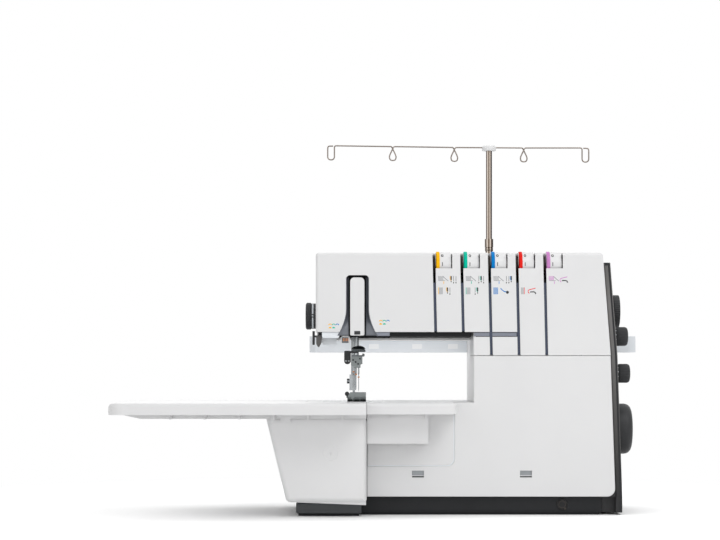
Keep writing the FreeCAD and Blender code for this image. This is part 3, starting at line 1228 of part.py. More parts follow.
def sewing_mechanism():
    carrier = block(("-12", "12"), ("66", "104"), (f"{FEED_REST} + pass_gap", "deck_height - 8"))
    teeth = []
    for x in ("-8", "8"):
        outline = [("64", "deck_height - 9"), ("99", "deck_height - 9"), ("99", "deck_height - 0.8")]
        for step in range(8):
            outline += [(f"99 - {4.375 * step + 2.2}", "deck_height + 0"),
                        (f"99 - {4.375 * (step + 1)}", "deck_height - 0.8")]
        teeth.append(prism("yz", outline, (f"{x} - 1.1", f"{x} + 1.1")))
    node("feed_dog", fused(carrier, *teeth))
    for name, x, y, way, length in (("lower_looper", "lower_looper_x", "49", 1, 19),
                                    ("upper_looper", "upper_looper_x", "59.5", -1, 33)):
        shaft = rod("y", x, ("28", f"{LOOPER_WALLS[1][1]} + 2"), "looper_z", "looper_pin")
        hub = rod("y", x, (f"{y} - 4", f"{y} + 4" if way > 0 else f"{y} + 2"), "looper_z", "looper_pin + 4")
        blade = [(f"{x} - {3 * way}", "looper_z"), (f"{x} + {3 * way}", "looper_z"),
                 (f"{x} + {3 * way}", "looper_z + 50"),
                 (f"{x} + {length * way}", "looper_z + 57"),
                 (f"{x} + {(length - 3) * way}", "looper_z + 59"),
                 (f"{x} - {3 * way}", "looper_z + 59")]
        arm = prism("xz", blade, (f"{y} - 2", f"{y} + 2"))
        node(name, fused(shaft, hub, arm))
    stem = rod("z", "knife_x - 6", "50", ("75", "120"), "knife_pin")
    head = block(("knife_x - 9", "knife_x + 1"), ("46", "54"), ("118", "124"))
    blade = block(("knife_x - 1", "knife_x + 1"), ("46", "54"),
                  ("118", "deck_height - plate_thick - pass_gap"))
    node("upper_knife", fused(stem, head, blade))
    node("lower_knife", block(("knife_x + 1.3", "knife_x + 3.3"), ("38", "54"),
                              ("112", "deck_height - plate_thick - pass_gap")))


# Controls on both sides

def knob(name, radius, width, y, z):
    """A turned knob with its shaft through the right-hand panel."""
    inner = f"{panel_x(z)} + control_gap"
    profile = [("-panel_thick - 10", "0"), ("-panel_thick - 10", "knob_pin"), ("0", "knob_pin"),
               ("0", f"{radius} - 1"),
               ("1", radius), (f"{width} - 2", f"{radius} - 0.6"), (width, f"{radius} - 2.4"), (width, "0")]
    node(name, turned("x", profile, inner, y, z))


def controls():
    knob("stitch_length_knob", "knob_radius", "knob_width", "knob_y", "length_knob_z")
    knob("differential_knob", "knob_radius", "knob_width", "knob_y", "feed_knob_z")
    knob("selector_dial", "selector_radius", "selector_width", "selector_y", "selector_z")
    profile = [("0", "0"), ("0", "pressure_radius - 2"), ("2", "pressure_radius"),
               ("pressure_width - 1", "pressure_radius"),
               ("pressure_width", "pressure_radius - 1"), ("pressure_width", "knob_pin"),
               ("pressure_width + 12", "knob_pin"),
               ("pressure_width + 12", "0")]
    node("pressure_knob", turned("x", profile, "arm_left - pressure_width - 0.8", "pressure_y",
                                 "pressure_z"))
    face = panel_x("inlet_z")
    inlet = block((f"{face} - 20", f"{face} + 1.2"),
                  ("inlet_y - inlet_wide / 2", "inlet_y + inlet_wide / 2"),
                  ("inlet_z - inlet_tall / 2", "inlet_z + inlet_tall / 2"))
    cavity = block((f"{face} - 15", f"{face} + 3"),
                   ("inlet_y - inlet_wide / 2 + 2", "inlet_y + inlet_wide / 2 - 2"),
                   ("inlet_z - inlet_tall / 2 + 2", "inlet_z + inlet_tall / 2 - 2"))
    blades = [block((f"{face} - 16", f"{face} - 3"), (f"inlet_y + {y} - 1", f"inlet_y + {y} + 1"),
                    ("inlet_z - 2", "inlet_z + 2"))
              for y in (-7, 0, 7)]
    node("power_inlet", fused(cut(inlet, cavity), *blades))
    lid = [(f"{face} - 6", "inlet_z - switch_tall / 2 + 1"),
           (f"{face} + 2.6", "inlet_z - switch_tall / 2 + 1"),
           (f"{face} + 1", "inlet_z"), (f"{face} + 2.6", "inlet_z + switch_tall / 2 - 1"),
           (f"{face} - 6", "inlet_z + switch_tall / 2 - 1")]
    node("power_switch", prism("xz", lid, ("switch_y - switch_wide / 2", "switch_y + switch_wide / 2")))
    ring = cut(rod("y", "knee_x", ("base_front - 1", "base_front + knee_long - 1"), "knee_z",
                   "knee_radius"),
               rod("y", "knee_x", ("base_front - 2", "base_front + knee_long - 2"), "knee_z", "knee_bore"))
    node("knee_socket", ring)
    heads = [rod("y", x, ("body_depth", "body_depth + 2"), z, "3.5")
             for x, z in (("arm_left + 14", "arm_top - 16"), ("right_top - 14", "arm_top - 16"),
                          ("column_left + 12", "base_top + 20"), ("right_low - 16", "base_top + 20"))]
    node("casing_screws", group(*heads))


# Spool stand and thread guide

SPOOLS = ["first_spool", "first_spool + spool_pitch", "mast_x - mast_step",
          "mast_x + mast_step", "mast_x + mast_step + spool_pitch"]
TRAY_FRONT = "body_depth + seam"
TRAY_FLOOR = "(tray_low + tray_skin)"


def spool_stand():
    back = f"{TRAY_FRONT} + tray_long"
    plan = [("tray_left", TRAY_FRONT), ("tray_right", TRAY_FRONT), ("tray_right", back),
            ("tray_left", back)]
    inside = [("tray_left + tray_skin", f"{TRAY_FRONT} + tray_skin"),
              ("tray_right - tray_skin", f"{TRAY_FRONT} + tray_skin"),
              ("tray_right - tray_skin", f"{back} - tray_skin"),
              ("tray_left + tray_skin", f"{back} - tray_skin")]

    def uprights(middle, direction, edge):
        return along(direction, "z")

    hull = rounded(xy_prism(plan, ("tray_low", "tray_low + tray_tall")), "tray_corner", uprights)
    hollow = rounded(xy_prism(inside, (TRAY_FLOOR, "tray_low + tray_tall + 1")), "tray_corner - tray_skin",
                     uprights)
    windows = [block((x, f"{x} + window_wide"), (f"{TRAY_FRONT} - 1", f"{TRAY_FRONT} + tray_skin + 1"),
                     ("tray_low + 4.4", "tray_low + 4.4 + window_tall")) for x in ("16.8", "73.8", "121")]
    node("spool_tray", cut(hull, hollow, *windows))
    pins = [turned("z", [("0", "0"), ("0", "spool_neck"), ("cone_tall + 1", "spool_neck"),
                         ("cone_tall + 1", "spool_pin"),
                         ("spool_tall - 2", "spool_pin"), ("spool_tall", "spool_pin - 1.5"),
                         ("spool_tall", "0")], x, "spool_y", TRAY_FLOOR) for x in SPOOLS]
    node("spool_pins", group(*pins))
    bore = "spool_neck + play"
    cones = [turned("z", [("0", bore), ("0", "cone_radius"), ("3", "cone_radius"),
                          ("cone_tall", "cone_radius / 2"),
                          ("cone_tall", bore)], x, "spool_y", TRAY_FLOOR) for x in SPOOLS]
    node("cone_holders", group(*cones))
    inner = "mast_radius - mast_wall"
    tube = turned("z", [("0", inner), ("0", "mast_radius + 6"), ("6", "mast_radius + 6"),
                        ("8", "mast_radius"),
                        (f"mast_joint - 12 - {TRAY_FLOOR}", "mast_radius"),
                        (f"mast_joint - 11 - {TRAY_FLOOR}", "mast_radius + 1"),
                        (f"mast_joint - {TRAY_FLOOR}", "mast_radius + 1"),
                        (f"mast_joint - {TRAY_FLOOR}", inner)],
                  "mast_x", "spool_y", TRAY_FLOOR)
    node("mast_tube", tube)
    node("mast_top", rod("z", "mast_x", "spool_y", ("mast_joint - mast_overlap", "mast_top"),
                         f"{inner} - play"))
    cap = turned("z", [("-8", "mast_radius - 0.5"), ("-8", "mast_radius + 2"), ("0", "mast_radius + 2"),
                       ("0", "cap_radius"),
                       ("cap_tall - 2", "cap_radius"), ("cap_tall", "cap_radius - 2"), ("cap_tall", "0"),
                       ("0.2", "0"),
                       ("0.2", "mast_radius - 0.5")], "mast_x", "spool_y", "mast_top")
    wire_hole = rod("x", ("mast_x - 30", "mast_x + 30"), "spool_y", WIRE_Z, "wire_radius + 2 * pass_gap")
    node("guide_cap", cut(cap, wire_hole))
    node("thread_guide", guide_wire())


WIRE_Z = "(mast_top + cap_tall / 2 - 0.4)"
BEND_FULLNESS = 1.002


def guide_wire():
    """The bent wire above the spools, with an open eye hanging over each spool pin."""
    rise = num("bar_rise")
    half = num("eye_wide") / 2
    drop = num("eye_tall")
    places = [num(f"{x} - mast_x") for x in SPOOLS]
    radius = num("wire_radius")

    def height(x):
        return rise * max(0.0, x / places[0])

    def spot(x, below=0.0, away=0.0):
        return Vector(x, away, height(x) - below)

    def eye(x):
        step = 2.6 * radius
        return [spot(x - 1.5 * radius), spot(x - half, drop * 0.62, -step / 2),
                spot(x - half * 0.7, drop * 0.9, -step / 2), spot(x, drop, 0),
                spot(x + half * 0.7, drop * 0.9, step / 2), spot(x + half, drop * 0.62, step / 2),
                spot(x + 1.5 * radius)]

    path = []
    ends = {places[0]: -1, places[-1]: 1}
    for x in places:
        side = ends.get(x)
        if side == -1:
            loop = [spot(x + half, drop * 0.25), spot(x + half, drop * 0.8), spot(x + half * 0.5, drop),
                    spot(x - half * 0.5, drop)]
            path += loop + [spot(x - half, drop * 0.8), spot(x - half, 2), spot(x - half + 2, 0)]
        elif side == 1:
            loop = [spot(x - half, drop * 0.25), spot(x - half, drop * 0.8), spot(x - half * 0.5, drop),
                    spot(x + half * 0.5, drop)]
            path += (loop + [spot(x + half, drop * 0.8), spot(x + half, 2), spot(x + half - 2, 0)])[::-1]
        else:
            path += eye(x)
    # a bend is a hair fuller than the wire, so that its ball and the straight runs cross cleanly
    solids = [Part.makeSphere(radius * BEND_FULLNESS, point) for point in path]
    for start, end in zip(path, path[1:]):
        run = end - start
        solids.append(Part.makeCylinder(radius, run.Length, start, run))
    piece = doc.addObject("Part::Feature", new_name("wire"))
    piece.Shape = solids[0].multiFuse(solids[1:]).removeSplitter()
    return place(piece, "mast_x", "spool_y", WIRE_Z)


# Build, check and write every sub-part

for make in (base_pan, rubber_feet, main_frame, shaft_bushes, head_cover, tension_cover, rear_cover,
             side_panel, bed_casing, bed_deck, needle_plate, looper_cover, cover_insert, extension_table,
             take_up_guard, tension_housing, tension_units, head_details, drive, needle_drive, presser,
             sewing_mechanism, controls, spool_stand):
    make()
doc.recompute()

for piece in doc.Objects:
    if "Invalid" in piece.State or "Error" in piece.State:
        raise RuntimeError(f"{piece.Name} ({piece.Label}) failed: {piece.State}")
os.makedirs("parts", exist_ok=True)
for name, piece in nodes.items():
    if piece.Shape.isNull() or not piece.Shape.isValid():
        raise RuntimeError(f"{name} has no valid shape")
    piece.Shape.exportStep(f"parts/{name}.step")
print(f"{len(nodes)} sub-parts written")
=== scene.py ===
"""Looks of an overlock and cover-stitch machine: finishes, small parts and a studio stage."""
import json
import math

import bmesh
import bpy
from bpy.props import FloatProperty, PointerProperty, StringProperty
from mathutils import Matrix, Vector
from mathutils.geometry import convex_hull_2d


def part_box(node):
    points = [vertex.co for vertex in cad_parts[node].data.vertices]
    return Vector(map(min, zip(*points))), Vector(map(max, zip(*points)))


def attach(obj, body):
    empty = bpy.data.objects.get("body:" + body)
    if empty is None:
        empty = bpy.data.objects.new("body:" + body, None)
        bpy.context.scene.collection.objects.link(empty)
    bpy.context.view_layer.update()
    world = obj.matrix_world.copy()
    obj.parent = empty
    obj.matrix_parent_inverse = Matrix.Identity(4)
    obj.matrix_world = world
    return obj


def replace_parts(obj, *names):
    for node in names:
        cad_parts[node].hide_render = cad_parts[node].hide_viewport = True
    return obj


bl_info = {
    "name": "Overlock Machine",
    "version": (1, 0, 0),
    "blender": (4, 5, 0),
    "location": "View3D > Sidebar > Overlock",
    "description": "Finishes and small parts of an overlock machine, with a studio stage",
    "category": "Object",
}

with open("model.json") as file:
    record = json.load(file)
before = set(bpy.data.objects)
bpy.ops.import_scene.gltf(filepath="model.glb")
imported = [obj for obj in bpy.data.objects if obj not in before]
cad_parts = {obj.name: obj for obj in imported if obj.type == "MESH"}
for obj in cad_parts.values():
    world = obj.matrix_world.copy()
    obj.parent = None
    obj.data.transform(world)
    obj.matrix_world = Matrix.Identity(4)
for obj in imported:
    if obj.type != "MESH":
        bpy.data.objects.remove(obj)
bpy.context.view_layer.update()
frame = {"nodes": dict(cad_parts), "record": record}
NODES = frame["nodes"]
MM = 0.001
NEEDLE_X = -36.0
FRONT_Y = -90.0
BODY = "machine_body"


def spot(x, y, z):
    """A point in metres from millimetres: X from the centre needle, Y back from the front casing."""
    return Vector((x + NEEDLE_X, y + FRONT_Y, z)) * MM


def node_box(name):
    """A node's lowest and highest corners in the millimetres that spot takes."""
    low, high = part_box(name)
    shift = Vector((NEEDLE_X, FRONT_Y, 0))
    return low / MM - shift, high / MM - shift


def centre(name):
    """The middle of a node's box."""
    low, high = node_box(name)
    return tuple((a + b) / 2 for a, b in zip(low, high))


def spool_places():
    """The places in X of the spool pins, from left to right."""
    mounts = frame["record"]["mounts"]
    return sorted(m["pos_m"][0] / MM - NEEDLE_X for m in mounts if m["name"].startswith("spool_pin"))


# Materials

GLOSS_SPREAD = 0.15
RELIEF_SHARE = 0.2
ABS = {"IOR": 1.53}
DULL_ABS = {**ABS, "Specular IOR Level": 0.2}
POLYSTYRENE = {"IOR": 1.59}
METAL = {"Metallic": 1.0}
THREADS = ("yellow", "green", "blue", "red", "violet")

# material, colour, deeper colour, roughness, grain in mm, relief, shader settings, mottle in mm, stretch of
# the grain; a colour is hex or the name of one that a user may change
FINISHES = {
    # the casings: a fine spark-eroded grain that keeps a soft satin glow
    "white": ("white_abs_moulded", "casing", "#DFDFE0", 0.36, 0.45, 0.05, ABS, 90.0),
    # the side panel and the parts that share its finish: a coarser grain that scatters light to a dull sheen,
    # under a colour ramp by height that paints a highlight high up and shade towards the foot
    "charcoal": ("charcoal_abs_moulded", None, None, 0.5, 0.7, 0.16, DULL_ABS),
    # the base: black ABS that takes little light near the floor
    "base": ("base_abs_moulded", "#2C2D2F", "#262729", 0.6, 0.8, 0.18, DULL_ABS),
    # the knobs: black ABS, matt from its grain
    "black": ("black_abs_moulded", "knob", "#2B2C2E", 0.5, 0.8, 0.18, {**ABS, "Specular IOR Level": 0.3}),
    # the chassis behind the slots: glass-filled nylon, dull, darkened to near black to paint the shade inside
    # the slots; the plinth and the louvres' slits use it as painted shade too
    "nylon": ("dark_nylon_painted_shade", "#131417", "#0E0F11", 0.6, 0.5, 0.1, DULL_ABS),
    # the spool tray: cool pale polystyrene with a smooth skin
    "tray": ("pale_polystyrene_moulded", "tray", "#E2E7EC", 0.32, 0.5, 0.04, POLYSTYRENE),
    # needle plate and knives: a straight lapped grain that stretches the light
    "plate": ("lapped_plate_steel", "#B9BABB", "#A9ABAD", 0.3, 0.25, 0.05, METAL, 40.0, (0.04, 1, 1)),
    # the mast: warm nickel whose dark and pale streaks round it are painted reflections
    "tube": ("nickel_drawn_tube", None, None, 0.3, 0.5, 0.015, METAL, 40.0, (1, 1, 0.01)),
    # the thread guide's wire: nickel plate, warm and a little dull
    "wire": ("nickel_plated_wire", "#8F867F", "#756C65", 0.3, 0.4, 0.01, METAL),
    # shafts and turned bars: bright with a light haze
    "bright": ("polished_steel", "#9DA0A2", "#85888A", 0.24, 0.4, 0.01, METAL),
    # clamp, comb and feed dog: dark grey steel with a soft highlight
    "dark_steel": ("phosphated_steel", "#6A6E70", "#565A5C", 0.38, 0.35, 0.08, METAL),
    # the motor's shell and the base's toe: dark paint with an even, low gloss
    "iron": ("painted_motor_shell", "#3A3D40", "#2F3235", 0.45, 0.6, 0.1),
    # the frame: pale metal with a pebbled skin
    "cast": ("die_cast_aluminium", "#B6B8BA", "#A0A3A6", 0.45, 1.2, 0.2, METAL),
    # bushes and inlet blades: warm metal with a fine open grain
    "bronze": ("sintered_bronze", "#A98A58", "#8E7347", 0.42, 0.3, 0.12, METAL),
    # feet, belt and grooves: near black, with hardly any shine
    "rubber": ("nitrile_rubber", "#1C1C1D", "#151516", 0.75, 0.4, 0.12, {"IOR": 1.52}),
    # the recess liner: smoke-grey polystyrene that darkens with depth
    "smoke": ("smoke_polystyrene_moulded", "#6C7078", "#5E626A", 0.34, 0.5, 0.04, POLYSTYRENE),
    # the rails under the head: polystyrene with a soft shine, in a slate grey that paints the shade of these
    # recessed strips
    "slate": ("slate_polystyrene_painted_shade", "#878C98", "#7B808C", 0.4, 0.5, 0.04, POLYSTYRENE),
    # the slots' floor: a blue-grey paler than the housing's painted shade above, which paints the light that
    # reaches the slots' lower part
    "slot_floor": ("blue_grey_nylon_painted_light", "#3C455C", "#333B4E", 0.5, 0.5, 0.05, ABS),
    # the tray's panes: milky polystyrene, paler than the tray round it
    "milk": ("milky_polystyrene_pane", "#FAFBFC", "#F4F6F8", 0.3, 0.5, 0.02, POLYSTYRENE),
    # tension discs and the knee socket's ring: a dark brown without a metal's shine; on the discs and their
    # shaft it is painted shade, dark where they show in the slots, and on the socket's ring it is a brown oxide
    # skin
    "oxide_and_shade": ("oxidised_steel_and_painted_shade", "#3A3028", "#2C241E", 0.45, 0.3, 0.05),
    # behind the hook slots: grey ABS that reads as shade
    "hook_grey": ("grey_abs_painted_shade", "#A7ABAF", "#989CA0", 0.45, 0.6, 0.08, ABS),
    # presser foot and clamp: satin chrome that blurs what it mirrors
    "satin": ("satin_chrome", "#8A8F8F", "#747979", 0.42, 0.3, 0.05, {"Metallic": 0.6}),
    # the lamp: frosted polycarbonate that lets light through
    "lamp": ("frosted_polycarbonate", "#F4F2EA", "#ECEAE0", 0.4, 0.6, 0.06,
             {"IOR": 1.58, "Transmission Weight": 0.4}),
    # needle bands: thin lacquer over the shank
    "orange": ("orange_lacquer", "#E08A4A", "#D07C3E", 0.4, 0.3, 0.03),
    # printed marks: thin flat ink in three greys
    "ink": ("grey_pad_print", "#9B9DA0", "#929497", 0.5, 0.3, 0.02),
    "pale_ink": ("white_pad_print", "#D9DEE2", "#CBD1D6", 0.5, 0.3, 0.02),
    "dark_ink": ("dark_pad_print", "#35363A", "#2C2D30", 0.5, 0.3, 0.02),
    # dial rims and thread marks: ABS dyed through, with little glare
    **{tone: (f"{tone}_dyed_abs", tone, tone, 0.45, 0.5, 0.04, {**ABS, "Specular IOR Level": 0.08})
       for tone in THREADS},
}
# height in millimetres and colour: painted light on the side panel, a painted highlight high up that fades to
# painted shade at its foot
PANEL_PAINTED_LIGHT = [(20, "#2F2F30"), (56, "#383838"), (118, "#4F4E4D"), (192, "#676665"), (262, "#767473"),
              (306, "#636261")]
# degrees round the mast from its front and colour: painted reflections, dark and pale streaks for what the
# polished tube mirrors
TUBE_PAINTED_REFLECTIONS = [(-180, "#8C7F74"), (-150, "#C6BAAE"), (-120, "#6E6157"), (-90, "#5A4E46"), (-46, "#65584E"),
                (-34, "#CFC4B9"), (-25, "#CFC4B9"), (-18, "#615449"), (4, "#615449"), (10, "#CFC4B9"),
                (19, "#CFC4B9"), (28, "#75685E"), (36, "#3E342E"), (88, "#2E2622"), (105, "#9A8D82"),
                (130, "#CFC4B9"), (155, "#6E6157"), (180, "#8C7F74")]


def srgb(code):
    """Linear RGBA from a hex sRGB colour."""
    parts = [int(code[i:i + 2], 16) / 255 for i in (1, 3, 5)]
    return [c / 12.92 if c <= 0.04045 else ((c + 0.055) / 1.055) ** 2.4 for c in parts] + [1.0]


def add_node(tree, kind, inputs=(), **settings):
    """Adds a node, sets its properties, and gives each input a value or a link."""
    made = tree.nodes.new(kind)
    for key, value in settings.items():
        setattr(made, key, value)
    for key, value in dict(inputs).items():
        if isinstance(value, bpy.types.NodeSocket):
            tree.links.new(value, made.inputs[key])
        else:
            made.inputs[key].default_value = value
    return made


def per_metre(size_mm):
    """The texture scale whose pattern repeats about every size_mm."""
    return 1 / (size_mm * MM)


def finish(name, colour, deep, rough, grain_mm, bump, shader=(), mottle_mm=40.0, stretch=(1, 1, 1)):
    """A surface with slow colour drift, uneven gloss and a fine grain, all in object space."""
    made = bpy.data.materials.new(name)
    made.use_nodes = True
    tree = made.node_tree
    bsdf = tree.nodes["Principled BSDF"]
    where = add_node(tree, "ShaderNodeTexCoord").outputs["Object"]
    placed = add_node(tree, "ShaderNodeMapping", {"Vector": where, "Scale": stretch}).outputs["Vector"]
    if colour:
        drift = add_node(tree, "ShaderNodeTexNoise",
                         {"Vector": placed, "Scale": per_metre(mottle_mm), "Detail": 3.0})
        tint = add_node(tree, "ShaderNodeMix", {0: drift.outputs["Fac"], 6: srgb(colour), 7: srgb(deep)},
                        data_type="RGBA")
        tree.links.new(tint.outputs[2], bsdf.inputs["Base Color"])
    grain = add_node(tree, "ShaderNodeTexNoise",
                     {"Vector": placed, "Scale": per_metre(grain_mm), "Detail": 2.0}).outputs["Fac"]
    gloss = add_node(tree, "ShaderNodeMapRange", {"Value": grain, "To Min": rough * (1 - GLOSS_SPREAD),
                                                  "To Max": min(1.0, rough * (1 + GLOSS_SPREAD))})
    relief = add_node(tree, "ShaderNodeBump", {"Height": grain, "Strength": bump,
                                               "Distance": grain_mm * MM * RELIEF_SHARE})
    tree.links.new(gloss.outputs["Result"], bsdf.inputs["Roughness"])
    tree.links.new(relief.outputs["Normal"], bsdf.inputs["Normal"])
    for key, value in dict(shader).items():
        bsdf.inputs[key].default_value = value
    return made


def ramp(tree, value, start, end, stops):
    """Colours a material by a value that runs from start to end, through stops of (place, colour)."""
    share = add_node(tree, "ShaderNodeMapRange", {"Value": value, "From Min": start, "From Max": end})
    colours = add_node(tree, "ShaderNodeValToRGB", {"Fac": share.outputs["Result"]})
    elements = colours.color_ramp.elements
    while len(elements) < len(stops):
        elements.new(0.5)
    first, last = stops[0][0], stops[-1][0]
    for element, (place, code) in zip(elements, stops):
        element.position = (place - first) / (last - first)
        element.color = srgb(code)
    tree.links.new(colours.outputs["Color"], tree.nodes["Principled BSDF"].inputs["Base Color"])


def fade_panel(tree):
    """Paints light and shade on the side panel by its height: a highlight high up, shade at its foot."""
    where = add_node(tree, "ShaderNodeTexCoord").outputs["Object"]
    height = add_node(tree, "ShaderNodeSeparateXYZ", {"Vector": where}).outputs["Z"]
    ramp(tree, height, PANEL_PAINTED_LIGHT[0][0] * MM, PANEL_PAINTED_LIGHT[-1][0] * MM, PANEL_PAINTED_LIGHT)


def streak_tube(tree):
    """Paints reflections on the mast by the angle round it."""
    low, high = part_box("mast_top")
    where = add_node(tree, "ShaderNodeTexCoord").outputs["Object"]
    inward = add_node(tree, "ShaderNodeVectorMath", {0: (low + high) / 2, 1: where}, operation="SUBTRACT")
    parts = add_node(tree, "ShaderNodeSeparateXYZ", {"Vector": inward.outputs["Vector"]}).outputs
    round_by = add_node(tree, "ShaderNodeMath", {0: parts["X"], 1: parts["Y"]}, operation="ARCTAN2")
    ramp(tree, round_by.outputs["Value"], math.pi, -math.pi, TUBE_PAINTED_REFLECTIONS)


# the panel's ramp paints a highlight and shade, the mast's ramp paints reflections
COLOURED_BY = {"charcoal": fade_panel, "tube": streak_tube}
MATERIALS = {}


def material(name):
    """A finish of this machine by name, made once."""
    if name not in MATERIALS:
        look = bpy.context.scene.overlock_colours
        label, *tint = FINISHES[name][:3]
        tint = [getattr(look, code, code) if code else None for code in tint]
        MATERIALS[name] = finish(label, *tint, *FINISHES[name][3:])
        if name in COLOURED_BY:
            COLOURED_BY[name](MATERIALS[name].node_tree)
    return MATERIALS[name]


def hex_colour(name, code, what):
    """A hex colour that a user may change."""
    return StringProperty(name=name, default=code, description=what)


class OverlockColours(bpy.types.PropertyGroup):
    """sRGB hex colours of the machine."""
    casing: hex_colour("Casing", "#E6E6E6", "White casings and table")
    knob: hex_colour("Knobs", "#333436", "Knobs and handwheel")
    tray: hex_colour("Tray", "#ECF0F4", "Spool tray")
    floor: hex_colour("Floor", "#FFFFFF", "Studio floor and backdrop")
    yellow: hex_colour("First thread", "#FBC012", "First dial and its marks")
    green: hex_colour("Second thread", "#00C0A2", "Second dial and its marks")
    blue: hex_colour("Third thread", "#0080CC", "Third dial and its marks")
    red: hex_colour("Fourth thread", "#E8241C", "Fourth dial and its marks")
    violet: hex_colour("Fifth thread", "#D08BCB", "Fifth dial and its marks")


def length(name, value, what):
    """A length in millimetres that a user may change."""
    return FloatProperty(name=name, default=value, description=what, min=0.0)


def coordinate(name, value, what):
    """A place in millimetres, to either side, that a user may change."""
    return FloatProperty(name=name, default=value, description=what)


class OverlockSizes(bpy.types.PropertyGroup):
    """Sizes in millimetres of the small parts and of the camera's place."""
    edge: length("Edge softness", 0.5, "Bevel of the moulded edges")
    panel_edge: length("Panel edge", 2.0, "Rounding of the side panel's edges")
    dial_wide: length("Dial width", 19.0, "Width of each tension dial")
    dial_rim: length("Dial rim", 4.5, "Width of each dial's dyed rim")
    knob_wide: length("Knob width", 18.0, "Width of the two knobs on the right")
    selector_wide: length("Selector width", 17.0, "Reach of the selector from the panel")
    handwheel_wide: length("Handwheel width", 20.0, "Width of the handwheel")
    pressure_wide: length("Pressure knob width", 13.0, "Width of the knob on the left")
    numeral: length("Numeral", 4.2, "Height of the dial numerals")
    wire: length("Guide wire", 0.9, "Radius of the thread guide wire")
    eye_wide: length("Eye width", 9.0, "Width of the thread guide's eyes")
    eye_tall: length("Eye drop", 19.0, "Drop of the thread guide's eyes")
    bar_rise: length("Bar rise", 3.0, "Rise of the thread guide's left end")
    recess_left: coordinate("Recess left", -12.4, "Left side of the take-up recess from the needle")
    recess_right: coordinate("Recess right", 16.1, "Right side of the take-up recess from the needle")
    recess_top: length("Recess top", 297.5, "Height of the take-up recess")
    recess_flare: length("Recess flare", 8.0, "Flare of the recess at its foot")
    flare_height: length("Flare height", 27.0, "Height over which the recess flares")
    lip_drop: length("Head lip", 7.6, "Drop of the pale lip below the head")
    lip_left: coordinate("Lip left", -42.3, "Left end of the pale lip")
    first_slot: length("First slot", 96.6, "Top of the first thread slot from the needle")
    slot_gap: length("Slot width", 3.6, "Width of the thread slots")
    slot_lean: FloatProperty(name="Slot lean", default=1.3, description="Lean of the thread slots in degrees")
    slot_floor: length("Slot floor", 288.2, "Height where the slots' pale floor begins")
    slot_short: length("Short slots", 228.0, "Foot of the first two slots")
    slot_long: length("Long slots", 199.0, "Foot of the other slots")
    hook_left: length("Left hook slot", 69.4, "Left edge of the left hook slot from the needle")
    hook_right: length("Right hook slot", 203.4, "Left edge of the right hook slot from the needle")
    hook_wide: length("Hook slot width", 14.9, "Width of the hook slots")
    hook_low: length("Hook slot foot", 46.5, "Height of the hook slots' lower edge")
    hook_tall: length("Hook slot height", 8.5, "Height of the hook slots")
    seam_left: length("Bed seam", 12.25, "Bed casing's right edge from the needle")
    pane_first: length("First pane", 16.8, "Left edge of the tray's first pane from the needle")
    pane_second: length("Second pane", 73.8, "Left edge of the tray's second pane")
    pane_third: length("Third pane", 121.0, "Left edge of the tray's third pane")
    pane_wide: length("Pane width", 13.0, "Width of the tray's panes")
    pane_low: length("Pane foot", 207.4, "Height of the panes' lower edge")
    pane_tall: length("Pane height", 6.5, "Height of the panes")
    rail_start: length("Upper rail left", 146.6, "Left end of the slate rail above the column")
    rail_end: length("Upper rail right", 199.4, "Right end of the slate rail above the column")
    insert_right: length("Insert right", 121.5, "Seam on the right of the cloth plate insert")
    insert_low: length("Insert foot", 61.0, "Seam below the cloth plate insert")
    insert_corner: length("Insert corner", 9.3, "Radius of the insert's seam")
    cover_corner: length("Cover corner", 10.4, "Radius of the gap beside the looper cover's lower corner")
    rail_left: coordinate("Rail left", 41.8, "Left end of the dark rail below the head")
    mark_left: length("Marks from needle", 102.3, "Left edge of the first dial's marks")
    mark_pitch: length("Marks pitch", 34.3, "Spacing of the marks, as of the dials")
    mark_top: length("Upper marks", 296.3, "Height of the upper row of marks")
    mark_low: length("Lower marks", 282.2, "Height of the lower row of marks")
    camera_back: length("Camera distance", 2600.0, "From the camera to the front casing")
    camera_height: length("Camera height", 184.8, "Of the lens above the floor")
    camera_right: length("Camera offset", 4.94, "Of the lens to the right of the needle")
    lens: length("Lens", 104.8, "Focal length on a 36 mm sensor")
    frame_lift: FloatProperty(name="Frame lift", default=0.1333, description="Vertical shift of the frame")


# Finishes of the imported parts

NODE_FINISH = {
    "white": "head_cover tension_cover rear_cover bed_casing bed_deck looper_cover cover_insert "
             "extension_table take_up_guard guide_cap",
    "charcoal": "side_panel thread_cutter",
    "base": "base_pan",
    "black": "handwheel stitch_length_knob differential_knob selector_dial pressure_knob power_inlet "
             "power_switch",
    "nylon": "tension_housing",
    "tray": "spool_tray cone_holders",
    "plate": "needle_plate lower_knife upper_knife casing_screws",
    "tube": "mast_tube mast_top",
    "bright": "needle_thread_guide main_shaft arm_shaft needle_bar needles presser_bar "
              "presser_lifter lower_looper upper_looper thread_guide spool_pins motor_pulley",
    "oxide_and_shade": "tension_shaft tension_discs",
    "dark_steel": "needle_clamp needle_guide_comb presser_foot feed_dog knee_socket",
    "iron": "motor",
    "cast": "main_frame drive_pulley",
    "bronze": "shaft_bushes",
    "rubber": "rubber_feet drive_belt",
    "yellow": "tension_dial_1",
    "green": "tension_dial_2",
    "blue": "tension_dial_3",
    "red": "tension_dial_4",
    "violet": "tension_dial_5",
    "lamp": "sewing_lamp",
}
SOFT_EDGED = ("head_cover tension_cover rear_cover side_panel bed_casing bed_deck looper_cover cover_insert "
              "extension_table base_pan spool_tray").split()
MOULDED_ANGLE = 50


def smooth(thing, angle):
    """Smooth shading that keeps edges sharper than the angle."""
    thing.data.shade_smooth()
    thing.data.set_sharp_from_angle(angle=math.radians(angle))


